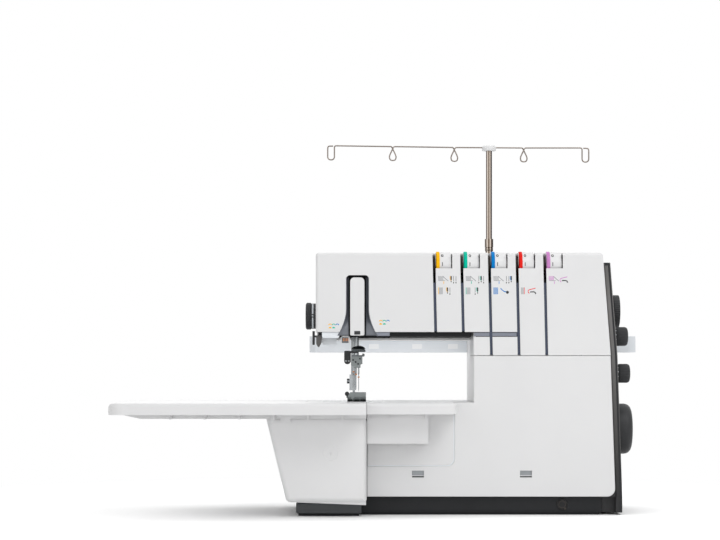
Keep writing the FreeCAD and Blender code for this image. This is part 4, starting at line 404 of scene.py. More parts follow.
class OVERLOCK_OT_finishes(bpy.types.Operator):
    """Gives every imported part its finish, and its moulded edges a small round"""
    bl_idname = "overlock.finishes"
    bl_label = "Finish the Parts"

    def execute(self, context):
        sizes = context.scene.overlock_sizes
        for name, members in NODE_FINISH.items():
            for member in members.split():
                slots = NODES[member].data.materials
                slots.clear()
                slots.append(material(name))
        for member in SOFT_EDGED:
            width, segments = (sizes.panel_edge, 4) if member == "side_panel" else (sizes.edge, 2)
            bevel_edges(NODES[member], width, segments, MOULDED_ANGLE)
        return {"FINISHED"}


# Stage

# place and aim in millimetres, width and height in metres, watts
LIGHTS = {
    "key_box": ((900, -1100, 1500), (100, 0, 180), (1.3, 1.0), 11.5),
    "fill_box": ((-1300, -1500, 900), (-60, 0, 170), (1.6, 1.4), 5),
    "front_box": ((60, -1900, 330), (60, 0, 210), (2.6, 0.6), 4.4),
    "under_arm_strip": ((48, 92, 206), (48, 165, 213), (0.19, 0.006), 0.026),
    "top_box": ((0, 200, 1500), (0, 80, 150), (1.8, 1.2), 5.2),
    "rim_box": ((0, 1700, 800), (0, 100, 170), (2.6, 1.2), 6),
}
SKY_LEVEL = 0.43
FLOOR_REACH = 14.0
SENSOR = 36.0
FAR_CLIP = 60.0
# metres from the middle where the paper starts to run out to white, and where it has done so
PAPER_CLEAR = {"From Min": 0.45, "From Max": 0.8}
# the same to the left, where it only goes part of the way; this is painted light that pales the table's shadow
# on the floor
PAPER_LEFT_PAINTED_LIGHT = {"From Min": -0.15, "From Max": -0.34, "To Max": 0.65}
# the paper's painted glow, by how much of the sky it sees: weaker under and beside the machine, which paints
# its contact shade
PAPER_PAINTED_GLOW = {"From Min": 0.35, "From Max": 0.9, "To Max": 0.4}
SKY_REACH = 0.25
PAPER_ROUGH = 0.9


def linked(thing):
    """Puts a new object in the scene."""
    bpy.context.scene.collection.objects.link(thing)
    return thing


def area_light(name, place, aim, size, power):
    """A soft box at a place in millimetres that faces a point."""
    lamp = bpy.data.lights.new(name, "AREA")
    lamp.shape = "RECTANGLE"
    lamp.size, lamp.size_y = size
    lamp.energy = power
    holder = linked(bpy.data.objects.new(name, lamp))
    holder.visible_camera = False
    holder.location = spot(*place)
    holder.rotation_euler = (spot(*aim) - holder.location).to_track_quat("-Z", "Y").to_euler()


class OVERLOCK_OT_stage(bpy.types.Operator):
    """Adds the floor, the soft lights and the camera"""
    bl_idname = "overlock.stage"
    bl_label = "Add the Stage"

    def execute(self, context):
        sizes = context.scene.overlock_sizes
        mesh = bpy.data.meshes.new("floor")
        corners = ((-1, -1), (1, -1), (1, 1), (-1, 1))
        mesh.from_pydata([(x * FLOOR_REACH, y * FLOOR_REACH, 0) for x, y in corners], [], [(0, 1, 2, 3)])
        floor = linked(bpy.data.objects.new("floor", mesh))
        mesh.materials.append(floor_paper(context.scene.overlock_colours.floor))

        for name, setting in LIGHTS.items():
            area_light(name, *setting)

        world = bpy.data.worlds.new("studio")
        context.scene.world = world
        world.use_nodes = True
        tree = world.node_tree
        background = tree.nodes["Background"]
        background.inputs["Color"].default_value = (1, 1, 1, 1)
        level = add_node(tree, "ShaderNodeMapRange",
                         {"Value": seen_ray(tree), "To Min": SKY_LEVEL, "To Max": 1.0})
        tree.links.new(level.outputs["Result"], background.inputs["Strength"])
        context.scene.view_settings.view_transform = "Standard"

        lens = bpy.data.cameras.new("front_camera")
        lens.lens = sizes.lens
        lens.sensor_width = SENSOR
        lens.shift_y = sizes.frame_lift
        lens.clip_end = FAR_CLIP
        camera = linked(bpy.data.objects.new("front_camera", lens))
        camera.location = spot(sizes.camera_right, -sizes.camera_back, sizes.camera_height)
        camera.rotation_euler = (math.radians(90), 0, 0)
        context.scene.camera = camera
        return {"FINISHED"}


def seen_ray(tree):
    """1 for rays that show the background: camera, glossy and see-through ones."""
    path = add_node(tree, "ShaderNodeLightPath")
    seen = path.outputs["Is Camera Ray"]
    for kind in ("Is Glossy Ray", "Is Transmission Ray"):
        either = add_node(tree, "ShaderNodeMath", {0: seen, 1: path.outputs[kind]}, operation="MAXIMUM")
        seen = either.outputs[0]
    return seen


def floor_paper(colour):
    """White studio paper that keeps the machine's soft shadow near it and runs out to plain white; a painted
    glow that fades where the machine hides the sky paints its contact shade, and to the left painted light
    pales the table's shadow.
    """
    made = bpy.data.materials.new("white_studio_paper")
    made.use_nodes = True
    tree = made.node_tree
    bsdf = tree.nodes["Principled BSDF"]
    bsdf.inputs["Base Color"].default_value = srgb(colour)
    bsdf.inputs["Roughness"].default_value = PAPER_ROUGH
    where = add_node(tree, "ShaderNodeTexCoord").outputs["Object"]
    away = add_node(tree, "ShaderNodeVectorMath", {0: where}, operation="LENGTH").outputs["Value"]
    across = add_node(tree, "ShaderNodeSeparateXYZ", {"Vector": where}).outputs["X"]
    far, left = (add_node(tree, "ShaderNodeMapRange", {"Value": value, **fade},
                          interpolation_type="SMOOTHSTEP")
                 for value, fade in ((away, PAPER_CLEAR), (across, PAPER_LEFT_PAINTED_LIGHT)))
    clear = add_node(tree, "ShaderNodeMath", {0: far.outputs["Result"], 1: left.outputs["Result"]},
                     operation="MAXIMUM")
    # painted light and shade: the paper glows less where the machine hides the sky
    open_sky = add_node(tree, "ShaderNodeAmbientOcclusion", {"Distance": SKY_REACH}, samples=8)
    lift = add_node(tree, "ShaderNodeMapRange", {"Value": open_sky.outputs["AO"], **PAPER_PAINTED_GLOW})
    fill = add_node(tree, "ShaderNodeEmission", {"Color": srgb(colour), "Strength": lift.outputs["Result"]})
    lit = add_node(tree, "ShaderNodeAddShader", {0: bsdf.outputs["BSDF"], 1: fill.outputs["Emission"]})
    plain = add_node(tree, "ShaderNodeEmission", {"Color": srgb(colour), "Strength": 1.0})
    sheet = add_node(tree, "ShaderNodeMixShader", {0: clear.outputs["Value"], 1: lit.outputs["Shader"],
                                                   2: plain.outputs["Emission"]})
    shown = add_node(tree, "ShaderNodeMixShader", {0: seen_ray(tree), 1: bsdf.outputs["BSDF"],
                                                   2: sheet.outputs["Shader"]})
    tree.links.new(shown.outputs["Shader"], tree.nodes["Material Output"].inputs["Surface"])
    return made


# Mesh tools

ALONG_X, ALONG_Z, TO_LEFT, TO_FRONT, TO_BACK = (1, 0, 0), (0, 0, 1), (-1, 0, 0), (0, -1, 0), (0, 1, 0)
INK_THICK = 0.04
BOLD = 0.044
CAP_HEIGHT = 0.7


def put(name, made, finishes, body, angle=35):
    """Turns a bmesh into a piece with its finishes, riding on a body."""
    bmesh.ops.recalc_face_normals(made, faces=made.faces)
    mesh = bpy.data.meshes.new(name)
    made.to_mesh(mesh)
    made.free()
    thing = linked(bpy.data.objects.new(name, mesh))
    for one in finishes:
        mesh.materials.append(material(one))
    smooth(thing, angle)
    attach(thing, body)
    return thing


def bevel_edges(thing, width, segments=3, angle=40):
    """Rounds a piece's sharp edges by a width in millimetres."""
    edge = thing.modifiers.new("soft_edge", "BEVEL")
    edge.width = width * MM
    edge.segments = segments
    edge.limit_method = "ANGLE"
    edge.angle_limit = math.radians(angle)
    edge.harden_normals = True
    return thing


def add_face(made, corners, slot=0):
    """A face of a finish slot through vertices."""
    made.faces.new(corners).material_index = slot


def join(made, near, far, slot=0, closed=True):
    """Faces between two rows of as many vertices, which close to rings or stay open."""
    count = len(near)
    for start in range(count if closed else count - 1):
        end = (start + 1) % count
        add_face(made, (near[start], near[end], far[end], far[start]), slot)


def turn(made, middle, axis, rows, steps=48, ribs=0, groove=0.0, slot=0):
    """Turns rows of (along, radius, grip) about an axis; ribs press grooves where a row's grip is above 0."""
    middle = Vector(middle)
    axis = Vector(axis).normalized()
    side = axis.orthogonal().normalized()
    up = axis.cross(side)
    rings = []
    for along, radius, *grip in rows:
        deep = groove * sum(grip)
        ring = []
        for step in range(steps):
            angle = 2 * math.pi * step / steps
            reach = radius - deep * (0.5 - 0.5 * math.cos(ribs * angle)) ** 2
            out = side * math.cos(angle) + up * math.sin(angle)
            ring.append(made.verts.new(spot(*(middle + axis * along + out * reach))))
        rings.append(ring)
    for near, far in zip(rings, rings[1:]):
        join(made, near, far, slot)
    add_face(made, rings[0], slot)
    add_face(made, rings[-1], slot)


def profile(wide, radius, near, far=(), hub=()):
    """Rows for turn: near ones (along, inset, grip) from the start, far ones and hub radii from the end."""
    return ([(along, radius - inset, *grip) for along, inset, *grip in near]
            + [(wide - along, radius - inset, *grip) for along, inset, *grip in far]
            + [(wide - along, reach) for along, reach in hub])


def close_up(made, near, far, slot=0):
    """A solid between two outlines of as many points."""
    near, far = ([made.verts.new(point) for point in ring] for ring in (near, far))
    add_face(made, near, slot)
    add_face(made, far, slot)
    join(made, near, far, slot)


def slab(made, outline, front, back, slot=0):
    """A plate with an outline of (x, z) points between two depths in Y."""
    close_up(made, *([spot(x, y, z) for x, z in outline] for y in (front, back)), slot)


def plank(made, outline, left, right, slot=0):
    """A bar with a side outline of (y, z) points between two places in X."""
    close_up(made, *([spot(x, y, z) for y, z in outline] for x in (left, right)), slot)


def round_box(x0, x1, z0, z1, radii, steps):
    """A rectangle's outline with its own radius at each corner: low left, low right, top right, top left."""
    corners = ((x0, z0, 1, 1), (x1, z0, -1, 1), (x1, z1, -1, -1), (x0, z1, 1, -1))
    outline = []
    for (x, z, right, up), radius, start in zip(corners, radii, (180, 270, 0, 90)):
        if radius:
            outline += bow(x + right * radius, z + up * radius, radius, start, start + 90, steps)
        else:
            outline.append((x, z))
    return outline


def plate(made, across, heights, depths, radius, slot=0, steps=3):
    """A plate between pairs of places in X, Z and Y, with one radius for its corners or four."""
    radii = radius if isinstance(radius, tuple) else (radius,) * 4
    slab(made, round_box(*across, *heights, radii, steps), *depths, slot)


def stroke(points, width):
    """The outline of a pen line of a width through points."""
    left, right = [], []
    for index, here in enumerate(points):
        before, after = points[max(index - 1, 0)], points[min(index + 1, len(points) - 1)]
        along = Vector((after[0] - before[0], after[1] - before[1])).normalized()
        off = Vector((-along.y, along.x)) * width / 2
        left.append((here[0] + off.x, here[1] + off.y))
        right.append((here[0] - off.x, here[1] - off.y))
    return left + right[::-1]


def bow(x, z, radius, start, end, steps=10):
    """Points on an arc, in degrees from the right."""
    angles = [math.radians(start + (end - start) * step / steps) for step in range(steps + 1)]
    return [(x + radius * math.cos(angle), z + radius * math.sin(angle)) for angle in angles]


def pen(marks, ink, width, x, z, *points):
    """Adds a pen line of an ink through points (right, down) from a corner to a list of marks."""
    marks.append((ink, stroke([(x + right, z - down) for right, down in points], width)))


def printed(name, marks, face):
    """Thin ink on an upright face at a depth: marks are pairs of a finish and an (x, z) outline."""
    made = bmesh.new()
    inks = list(dict.fromkeys(ink for ink, outline in marks))
    for ink, outline in marks:
        slab(made, outline, face - INK_THICK, face + INK_THICK, inks.index(ink))
    put(name, made, inks, BODY)


def wire(name, points, radius, finish_name, body):
    """A smooth round wire near points, in millimetres."""
    curve = bpy.data.curves.new(name, "CURVE")
    curve.dimensions = "3D"
    curve.bevel_depth = radius * MM
    curve.bevel_resolution = 4
    curve.resolution_u = 6
    curve.use_fill_caps = True
    line = curve.splines.new("NURBS")
    line.points.add(len(points) - 1)
    for place, point in zip(line.points, points):
        place.co = (*spot(*point), 1)
    line.order_u = 3
    line.use_endpoint_u = True
    thing = linked(bpy.data.objects.new(name, curve))
    curve.materials.append(material(finish_name))
    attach(thing, body)
    return thing


def digit(made, text, tall, where, slot):
    """Adds a numeral's mesh, each of its points (across, up) in millimetres put in place by where."""
    font = bpy.data.curves.new("numeral", "FONT")
    font.body = text
    font.size = tall / CAP_HEIGHT
    font.offset = tall * BOLD
    font.align_x = "CENTER"
    font.align_y = "CENTER"
    holder = bpy.data.objects.new("numeral", font)
    flat = bpy.data.meshes.new_from_object(holder)
    points = [made.verts.new(where(point.co.x, point.co.y)) for point in flat.vertices]
    for face in flat.polygons:
        add_face(made, [points[index] for index in face.vertices], slot)
    bpy.data.objects.remove(holder)
    bpy.data.curves.remove(font)
    bpy.data.meshes.remove(flat)


# Tension dials, knobs and handwheel

# (along, inset from the radius, grip) rows of the turned parts, in millimetres
RIM_NEAR, RIM_FAR = ((0, 2), (0.2, 0.5, 1), (0.7, 0, 1)), ((0.5, 0, 1), (0, 0.6, 1))
DRUM_NEAR, DRUM_FAR = ((-0.2, 1), (-0.1, 0)), ((0.8, 0), (0.2, 0.5), (0, 1.6))
KNOB_NEAR = ((0, 3.5), (0, 1.2), (0.5, 0.9), (3.2, 0.9), (3.6, 0.6), (4.4, 0, 1))
KNOB_FAR = ((4, 0, 1), (1.8, 0.6, 0.8), (0.6, 1.8, 0.3), (0, 3.8), (0.5, 5))
SELECTOR_NEAR = ((0, 4), (0, 1.4))
SELECTOR_FAR = ((9, 1.4), (8.6, 0.4), (8, 0, 1), (1.6, 0, 1), (0.9, 0.6, 1), (0.7, 2.2), (1.6, 3))
WHEEL_NEAR = ((0, 3), (0.5, 1), (1.6, 0.2), (3, 0))
WHEEL_FAR = ((9, 0), (6, 0.5), (3.4, 1.8), (1.3, 4.2), (0.2, 7), (0, 8.6), (0.4, 10), (2.6, 11.4), (3.4, 13))
WHEEL_BORE = 8
WHEEL_HUB = ((3.4, 8.5), (2.8, 7.4), (1.2, 6.8), (0.8, 5.8), (0.8, 0.4))
PRESSURE_FAR = ((1.8, 0, 1), (0.7, 0.7, 1), (0, 2.2), (0.4, 4))
TIP = 0.4
DIAL_GRIP = {"steps": 180, "ribs": 60, "groove": 0.35}
KNOB_GRIP = {"steps": 216, "ribs": 36, "groove": 0.55}
COARSE_GRIP = {"steps": 240, "ribs": 48, "groove": 0.5}

DRUM_INSET = 0.8
NUMERALS = 8
NUMERAL_TOP = 43
NUMERAL_PITCH = 45
NUMERAL_ASIDE = 3.1
NUMERAL_PROUD = 0.2
TICKS = 12
TICK_TURN = 10
TICK_INSET = 0.84
TICK = ((0.9, -0.5), (2.9, -0.5), (2.9, 0.5), (0.9, 0.5))
SELECTOR_PLATE = 8.0
POINTER = ((-5.0, 4.4), (14.5, 3.0), (17.0, 0.0), (14.5, -3.0), (-5.0, -4.4))
POINTER_SINK = 1.8
INDEX_INSET = 0.85
INDEX_ARCS = ((-74, -8), (-2.5, 2.5), (8, 74))
INDEX_SHARES = (0.38, 0.24)
INDEX_STEPS = 16


def round_node(name):
    """The left and right of a round part, its axis in Y and Z, and its radius."""
    low, high = node_box(name)
    return low.x, high.x, *centre(name)[1:], (high.y - low.y) / 2


def on_round(x, y, z, reach, angle):
    """A point at an angle above the front of a round part."""
    return spot(x, y - reach * math.cos(angle), z + reach * math.sin(angle))


class OVERLOCK_OT_dials(bpy.types.Operator):
    """Makes the five tension dials: a dyed, knurled rim and a white drum with numerals"""
    bl_idname = "overlock.dials"
    bl_label = "Tension Dials"

    def execute(self, context):
        sizes = context.scene.overlock_sizes
        for index, tone in enumerate(THREADS, start=1):
            node = f"tension_dial_{index}"
            _, right, y, z, radius = round_node(node)
            left = right - sizes.dial_wide
            drum = radius - DRUM_INSET
            rim = left + sizes.dial_rim
            made = bmesh.new()
            turn(made, (left, y, z), ALONG_X, profile(sizes.dial_rim, radius, RIM_NEAR, RIM_FAR), **DIAL_GRIP)
            turn(made, (rim, y, z), ALONG_X, profile(right - rim, drum, DRUM_NEAR, DRUM_FAR), 96, slot=1)
            for value in range(NUMERALS):
                turned = math.radians(NUMERAL_TOP - NUMERAL_PITCH * value)

                def on_drum(across, up):
                    x = rim + NUMERAL_ASIDE + across
                    return on_round(x, y, z, drum + NUMERAL_PROUD, turned + up / drum)

                digit(made, str(value), sizes.numeral, on_drum, 2)
            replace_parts(put(f"dial_{tone}", made, [tone, "white", "dark_ink"], node), node)
        return {"FINISHED"}


class OVERLOCK_OT_knobs(bpy.types.Operator):
    """Makes the ribbed knobs, the flat selector and the handwheel on the right, and the pressure knob"""
    bl_idname = "overlock.knobs"
    bl_label = "Knobs and Handwheel"

    def execute(self, context):
        sizes = context.scene.overlock_sizes
        for node in ("stitch_length_knob", "differential_knob"):
            self.knob(node, sizes.knob_wide)
        self.selector("selector_dial", sizes.selector_wide)
        self.handwheel("handwheel", sizes.handwheel_wide)
        self.pressure("pressure_knob", sizes.pressure_wide)
        return {"FINISHED"}

    def knob(self, node, wide):
        """A finger knob with ribs, a smooth skirt, and white ticks on the skirt."""
        _, right, y, z, radius = round_node(node)
        left = right - wide
        made = bmesh.new()
        turn(made, (left, y, z), ALONG_X, profile(wide, radius, KNOB_NEAR, KNOB_FAR, [(0.5, TIP)]), **KNOB_GRIP)
        reach = radius - TICK_INSET
        for tick in range(TICKS):
            angle = math.radians(360 / TICKS * tick + TICK_TURN)
            add_face(made, [made.verts.new(on_round(left + x, y, z, reach, angle + aside / reach))
                            for x, aside in TICK], 1)
        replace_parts(put(node + "_grip", made, ["black", "pale_ink"], node), node)

    def selector(self, node, wide):
        """A flat dial with a coarse grip and a pointer bar across its face."""
        _, plate_right, y, z, radius = round_node(node)
        left = plate_right - SELECTOR_PLATE
        right = left + wide
        made = bmesh.new()
        turn(made, (left, y, z), ALONG_X, profile(wide, radius, SELECTOR_NEAR, SELECTOR_FAR, [(1.6, TIP)]),
             **COARSE_GRIP)
        foot = [made.verts.new(spot(right - POINTER_SINK, y + b, z + a)) for a, b in POINTER]
        face = [made.verts.new(spot(right, y + b * 0.8, z + a * 0.96)) for a, b in POINTER]
        add_face(made, face)
        join(made, foot, face)
        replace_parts(put(node + "_grip", made, ["black"], node), node)

    def handwheel(self, node, wide):
        """A smooth wheel with a rounded outer rim, a dished face and a hub."""
        _, right, y, z, radius = round_node(node)
        rows = [(0, WHEEL_BORE)] + profile(wide, radius, WHEEL_NEAR, WHEEL_FAR, WHEEL_HUB)
        made = bmesh.new()
        turn(made, (right - wide, y, z), ALONG_X, rows, 144)
        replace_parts(put(node + "_rim", made, ["black"], "main_shaft"), node)

    def pressure(self, node, wide):
        """A ribbed knob on the left with a pale index ring that breaks round a dot."""
        left, _, y, z, radius = round_node(node)
        right = left + wide
        near = ((0, 4), (0, 0.9), (wide * 0.48, 0.9), (wide * 0.52, 0, 1))
        made = bmesh.new()
        turn(made, (right, y, z), TO_LEFT, profile(wide, radius, near, PRESSURE_FAR, [(0.4, TIP)]),
             **COARSE_GRIP)
        for start, end in INDEX_ARCS:
            rows = [[made.verts.new(spot(right - wide * share, y - across, z + up))
                     for across, up in bow(0, 0, radius - INDEX_INSET, start, end, INDEX_STEPS)]
                    for share in INDEX_SHARES]
            join(made, *rows, 1, closed=False)
        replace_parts(put(node + "_grip", made, ["black", "pale_ink"], node), node)


# Thread guide wire

class OVERLOCK_OT_guide_wire(bpy.types.Operator):
    """Bends the thread guide: a bar with a hanging eye over each spool and a long loop at each end"""
    bl_idname = "overlock.guide_wire"
    bl_label = "Thread Guide Wire"

    def execute(self, context):
        sizes = context.scene.overlock_sizes
        pins = spool_places()
        y = centre("thread_guide")[1]
        cap = centre("guide_cap")[0]
        bar = node_box("thread_guide")[1].z - sizes.wire - sizes.bar_rise
        half = sizes.eye_wide / 2
        drop = sizes.eye_tall
        side = sizes.wire

        def at(x, below, aside=0.0):
            rise = sizes.bar_rise * max(0.0, (cap - x) / (cap - pins[0]))
            return (x, y + aside, bar + rise - below)

        # (right, below) points of the left end's loop, from the bar round to its hooked end
        loop = [(half + 3.4, 0), (half + 1.4, 0), (half + 0.1, 1.4), (half, 3.6), (half, drop - 6),
                (half, drop - 2.6), (half * 0.5, drop), (-half * 0.5, drop), (-half, drop - 2.6),
                (-half, drop - 6), (-half, 3.2), (-half + 0.6, 1.2), (-half + 2.6, 0.4), (half - 1.6, 0.5)]
        # (right, below, back) points of an eye's first half, where the wire passes behind itself
        eye = [(-3.4, 0, 0), (-1.8, 0.1, 0), (-0.5, 2.0, side), (0.5, 4.2, side),
               (half * 0.82, drop * 0.56, side), (half * 1.06, drop * 0.76, side),
               (half * 0.72, drop * 0.98, side * 0.4)]
        route = [at(pins[0] + a, b) for a, b in reversed(loop)]
        for x in pins[1:-1]:
            route += [at(x + a, b, c) for a, b, c in eye] + [at(x - a, b, -c) for a, b, c in reversed(eye)]
        route += [at(pins[-1] - a, b) for a, b in loop]
        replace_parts(wire("guide_wire", route, sizes.wire, "wire", "thread_guide"), "thread_guide")
        return {"FINISHED"}


# Take-up recess, guard, printed marks and the parts under the head

LINER_ROWS = 40
LINER_STEPS = 10
LINER_BELOW = 4.5
LINER_PAST = 2
LINER_GAP = 1.7
LINER_FRONT = 0.5
LINER_OVERLAP = 0.2
LINER_DEPTH = 9.0
LINER_WALL = 0.8
FLARE_POWER = 1.7
# the liner gets shallower by this much over a height, from a height above the head's foot
SHALLOW_BY, SHALLOW_OVER, SHALLOW_FROM = 6.0, 24, 22


def eased(share):
    """Eases 0 to 1 with flat ends."""
    share = min(1.0, max(0.0, share))
    return share * share * (3 - 2 * share)


class OVERLOCK_OT_recess(bpy.types.Operator):
    """Lines the take-up recess with a flared scoop on each side of its rounded guard"""
    bl_idname = "overlock.recess"
    bl_label = "Take-up Recess"

    def execute(self, context):
        sizes = context.scene.overlock_sizes
        low, high = node_box("take_up_guard")
        foot = node_box("head_cover")[0].z
        tall = sizes.recess_top - foot + LINER_PAST
        made = bmesh.new()
        for outer, inner, side in ((sizes.recess_left, low.x - LINER_GAP, -1),
                                   (sizes.recess_right, high.x + LINER_GAP, 1)):
            rows = []
            for level in range(LINER_ROWS + 1):
                z = foot - LINER_BELOW + tall * level / LINER_ROWS
                flare = sizes.recess_flare * max(0.0, 1 + (foot - z) / sizes.flare_height) ** FLARE_POWER
                depth = LINER_DEPTH - SHALLOW_BY * eased((foot + SHALLOW_FROM - z) / SHALLOW_OVER)
                edge = outer + side * (flare - LINER_OVERLAP)
                scoop = [(edge + (inner - edge) * (1 - near), LINER_FRONT + depth * deep)
                         for near, deep in bow(0, 0, 1, 0, 90, LINER_STEPS)]
                rows.append([made.verts.new(spot(x, y, z)) for x, y in scoop])
            for below, above in zip(rows, rows[1:]):
                join(made, below, above, closed=False)
        thick = put("recess_liner", made, ["smoke"], BODY, 60).modifiers.new("wall", "SOLIDIFY")
        thick.thickness = LINER_WALL * MM
        thick.offset = 0

        made = bmesh.new()
        plate(made, (low.x, high.x), (low.z - 1.5, high.z), (low.y - 0.1, low.y + 5.2), (2.0, 2.0, 5.2, 5.2),
              steps=8)
        guard = bevel_edges(put("take_up_guard_face", made, ["white"], BODY), 1.1, 4)
        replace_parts(guard, "take_up_guard")
        x = centre("take_up_guard")[0]
        made = bmesh.new()
        plate(made, (x - 3.7, x + 3.7), (low.z - 0.2, low.z + 4.2), (low.y - 0.45, low.y + 0.6), 0.5)
        bevel_edges(put("guard_foot_stop", made, ["black"], BODY), 0.25, 2)
        return {"FINISHED"}


ARC_PLACES = ((-32.2, 235.0), (30.6, 239.6))
ARC_PITCH = 4.5
ARC_RADIUS = 1.9
ARC_DROP = 3.5


class OVERLOCK_OT_marks(bpy.types.Operator):
    """Prints the generic thread marks on the front covers"""
    bl_idname = "overlock.marks"
    bl_label = "Printed Marks"

    def execute(self, context):
        sizes = context.scene.overlock_sizes
        face = node_box("tension_cover")[0].y
        marks = []
        for x, z in ARC_PLACES:
            for number, tone in enumerate(THREADS[:3]):
                marks.append((tone, stroke(bow(x + ARC_PITCH * number, z, ARC_RADIUS, 15, 165), 1.0)))
            for number, tone in enumerate(THREADS[:2]):
                marks.append((tone, bow(x + ARC_PITCH * number, z - ARC_DROP, ARC_RADIUS, 0, 180)))
        printed("needle_thread_marks", marks, face)

        marks = []
        top, low = sizes.mark_top, sizes.mark_low
        for number, tone in enumerate(THREADS):
            left = sizes.mark_left + sizes.mark_pitch * number
            if number < 3:
                self.stitches(marks, left, top, "ink", tone)
                self.needles(marks, left + 15.7, top, tone, number, 3)
            if number < 2:
                self.hatch(marks, left, low, (tone, "ink", "ink", "ink", "ink"))
                self.needles(marks, left + 11.2, low, tone, number, 2)
            elif number == 2:
                self.hatch(marks, left, low, (tone,) * 5)
                self.hook(marks, left + 8.5, low, tone)
            elif number == 3:
                self.hatch(marks, left, low, ("ink", "ink", "ink", tone))
                self.looper(marks, left + 8.4, low, tone)
            else:
                self.stitches(marks, left, top, tone, tone)
                self.looper(marks, left + 13.6, top, tone)
        printed("tension_route_marks", marks, face)
        return {"FINISHED"}

    def stitches(self, marks, x, z, thread, tone):
        """A seam edge: upright stitches over a sloping hem."""
        for number in range(5):
            pen(marks, thread, 0.7, x + 1.3 * number, z, (0, 0), (0.4, 5.2))
        pen(marks, "ink", 0.8, x, z, (5.4, 0.2), (8.6, 3.2), (12.2, 6.2))
        pen(marks, "ink", 0.6, x, z, (0, 5.6), (8.4, 5.6))
        pen(marks, tone, 0.8, x, z, (6.6, 6.4), (6.6, 9.6))

    def hatch(self, marks, x, z, rows):
        """Rows of flat cover stitches, each with its ink."""
        for number, ink in enumerate(rows):
            pen(marks, ink, 0.7, x + 1.2 * number, z, (0, 0), (0, 8.4))

    def needles(self, marks, x, z, tone, chosen, count):
        """A row of needles with the chosen one threaded."""
        for number in range(count):
            here = x + 3.0 * number
            threaded = number == chosen
            ink, width, drop = ("dark_ink", 1.6, 5.0) if threaded else ("ink", 0.8, 6.4)
            pen(marks, ink, width, here, z, (0, 0), (0, drop))
            pen(marks, "dark_ink", 1.1, here, z, (0, drop + 0.9), (0, drop + 2.6))
            if threaded:
                pen(marks, tone, 0.7, here, z, (-1.3, 0), (-1.3, 3.6), (0, 5.8))

    def looper(self, marks, x, z, tone):
        """A bent looper with its thread round it."""
        pen(marks, "dark_ink", 1.4, x, z, (2.2, 5.6), (7.0, 5.4), (8.6, 6.2), (9.4, 8.2))
        marks.append((tone, stroke(bow(x + 2.2, z - 5.0, 2.3, 255, 105) + [(x + 9.0, z - 0.9)], 0.9)))

    def hook(self, marks, x, z, tone):
        """A looper's round heel with its thread running up from it."""
        marks.append(("dark_ink", bow(x + 8.4, z - 6.0, 1.9, 0, 330)))
        pen(marks, tone, 1.1, x, z, (0, 0.8), (1.0, 2.4), (4.4, 5.0), (7.4, 5.6))


LIP_GAP = 0.4
LIP_SINK = 0.3
GUIDE_BAR = 1.6
GUIDE_RISE = 1.4
GUIDE_SLOTS = 4


